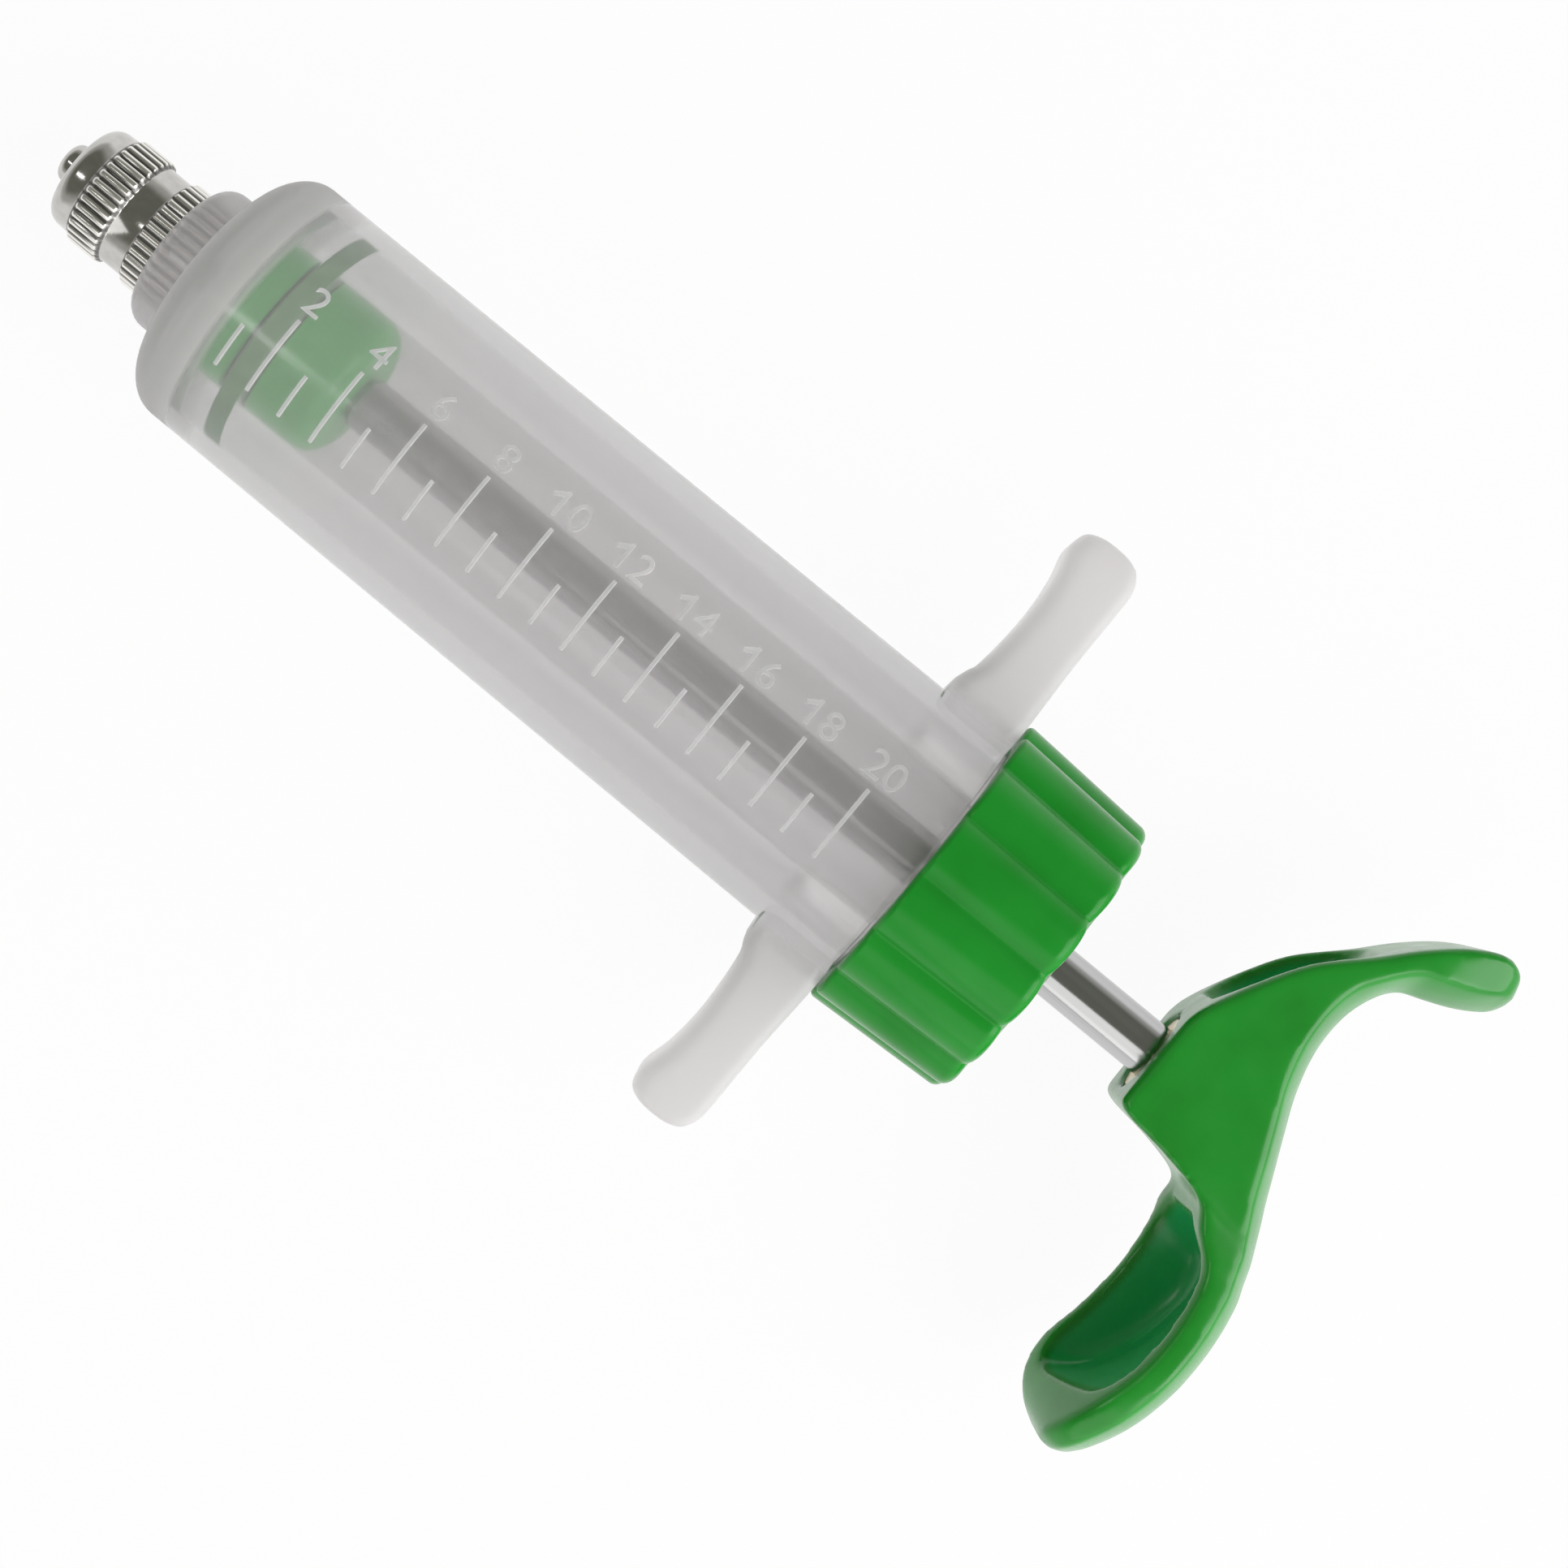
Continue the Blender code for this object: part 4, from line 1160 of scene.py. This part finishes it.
def handle_bush(material):
    front = front_of("handle_insert")
    rear = rear_of("handle_insert")
    edge = 0.25 * mm
    seat = front + 2.3 * mm
    bore = ROD_R + INSERT_BUSH_GAP
    profile = [
        (front + edge, bore),
        (front, bore + edge),
        (front, INSERT_BUSH_R - edge),
        (front + edge, INSERT_BUSH_R),
        (rear, INSERT_BUSH_R),
        (rear, SCREW_HOLE_R),
        (seat, SCREW_HOLE_R),
        (seat, bore),
    ]
    piece = turned("handle_bush", profile, steps=96)
    dress(piece, material, "plunger", "insert_brass", "handle_insert")


def paint_nodes(materials):
    """Finish the CAD nodes that stay in view when the syringe is taken apart."""
    for node, material in materials.items():
        frame["nodes"][node].material_slots[0].material = material


def floor_material():
    """Pale floor that looks white to the camera and in reflections, and keeps a soft shadow."""
    look = Look("floor_white")
    clouds = look.noise(0.4, 2.0)
    look.join(look.ramp(clouds, (0.3, grey(0.9)), (0.7, grey(0.92))),
              look.shader.inputs["Base Color"])
    look.set(Roughness=0.9, Specular_IOR_Level=0.1)
    glow = look.add("ShaderNodeEmission")
    glow.inputs["Color"].default_value = (*grey(1.0), 1.0)
    glow.inputs["Strength"].default_value = 1.0
    rays = look.add("ShaderNodeLightPath").outputs
    seen = look.calculate("MAXIMUM", rays["Is Camera Ray"], rays["Is Glossy Ray"])
    seen = look.calculate("MAXIMUM", seen, rays["Is Transmission Ray"])
    share = look.calculate("MULTIPLY", seen, FLOOR_GLOW)
    final = look.blend(share, look.shader.outputs["BSDF"], glow.outputs["Emission"])
    look.join(final, look.output.inputs["Surface"])
    return look.material


def stage():
    bm = bmesh.new()
    half = 2.5
    corners = [(-half, -half, 0.0), (half, -half, 0.0), (half, half, 0.0), (-half, half, 0.0)]
    bm.faces.new([bm.verts.new(corner) for corner in corners])
    ground = from_bmesh("floor", bm)
    ground.data.materials.append(floor_material())


def world_light():
    """A room that is bright near the horizon and darker overhead."""
    world = bpy.data.worlds.new("studio")
    bpy.context.scene.world = world
    world.use_nodes = True
    tree = world.node_tree
    place = tree.nodes.new("ShaderNodeTexCoord")
    axes = tree.nodes.new("ShaderNodeSeparateXYZ")
    tree.links.new(place.outputs["Generated"], axes.inputs["Vector"])
    ramp = tree.nodes.new("ShaderNodeValToRGB")
    ramp.color_ramp.interpolation = "EASE"
    elements = ramp.color_ramp.elements
    while len(elements) < len(ROOM_LIGHT):
        elements.new(0.5)
    for element, (height, colour) in zip(elements, ROOM_LIGHT):
        element.position = height
        element.color = (*colour, 1.0)
    tree.links.new(axes.outputs["Z"], ramp.inputs["Fac"])
    tree.links.new(ramp.outputs["Color"], tree.nodes["Background"].inputs["Color"])


def lamp(name, place, aim, size, power):
    data = bpy.data.lights.new(name, "AREA")
    data.shape = "RECTANGLE"
    data.size, data.size_y = size
    data.energy = power
    light = bpy.data.objects.new(name, data)
    bpy.context.scene.collection.objects.link(light)
    light.location = place
    light.rotation_euler = (Vector(aim) - Vector(place)).to_track_quat("-Z", "Y").to_euler()


def photo_camera():
    """The photograph's view: straight down, turned so that the axis falls to the right."""
    data = bpy.data.cameras.new("photo_camera")
    data.sensor_width = SENSOR_WIDTH
    data.lens = SENSOR_WIDTH * FOCAL_PIXELS / FRAME_PIXELS
    data.clip_start = 0.01
    data.clip_end = 20.0
    camera = bpy.data.objects.new("photo_camera", data)
    bpy.context.scene.collection.objects.link(camera)
    centre = 0.5 * FRAME_PIXELS
    camera.location = (
        NECK + (centre - NECK_PIXEL_X) * PIXEL_SIZE,
        AXIS_Y + (AXIS_PIXEL_Y - centre) * PIXEL_SIZE,
        AXIS_Z + FOCAL_PIXELS * PIXEL_SIZE,
    )
    up = Vector((-math.sin(AXIS_ANGLE), math.cos(AXIS_ANGLE), 0.0))
    right = Vector((math.cos(AXIS_ANGLE), math.sin(AXIS_ANGLE), 0.0))
    camera.rotation_euler = Matrix((right, up, right.cross(up))).transposed().to_euler()
    bpy.context.scene.camera = camera


def main():
    milky = milky_plastic("milky_plastic", MILKY_TINT, MILKY_HAZE, share=0.2, solid_share=0.9,
                          roughness=0.12)
    raised = milky_plastic("milky_raised", grey(0.8), grey(0.89), share=0.47, solid_share=0.8,
                           roughness=0.15)
    # The handle's pockets get a painted light green
    green = green_plastic("green_plastic", HANDLE_GREENS, shine=0.48, inner=POCKET_PAINTED_LIGHT)
    cap_green = green_plastic("cap_plastic", CAP_GREENS, shine=0.25)
    piston_green = green_plastic("piston_green", PISTON_GREENS, shine=0.5)
    plating = plated_metal("plating", PLATING, roughness=0.13)
    steel = polished_steel("steel")
    brass = plated_metal("brass", BRASS, roughness=0.25)
    ring_rubber = soft_finish("ring_rubber", RING_GREY, roughness=0.45)
    black_rubber = soft_finish("black_rubber", WIPER_BLACK, roughness=0.6)
    silicone = soft_finish("silicone", SILICONE, roughness=0.5)
    white = soft_finish("bush_plastic", BUSH_WHITE, roughness=0.4)
    fibre = soft_finish("fibre", FIBRE_RED, roughness=0.8)

    barrel_shell(milky)
    scale_marks(raised)
    scale_numerals(raised)
    nozzle_insert(plating)
    lock_collar(plating)
    cone(plating)
    cap(cap_green)
    piston_head(piston_green)
    piston_ring(ring_rubber)
    piston_body(piston_green)
    rod(steel)
    palm_handle(green)
    handle_bush(brass)
    paint_nodes({
        "nozzle_washer": fibre,
        "cap_seal": silicone,
        "rod_guide_bush": white,
        "rod_wiper": black_rubber,
    })
    stage()
    world_light()
    for settings in LAMPS:
        lamp(*settings)
    photo_camera()
    bpy.context.scene.view_settings.view_transform = "Standard"


main()
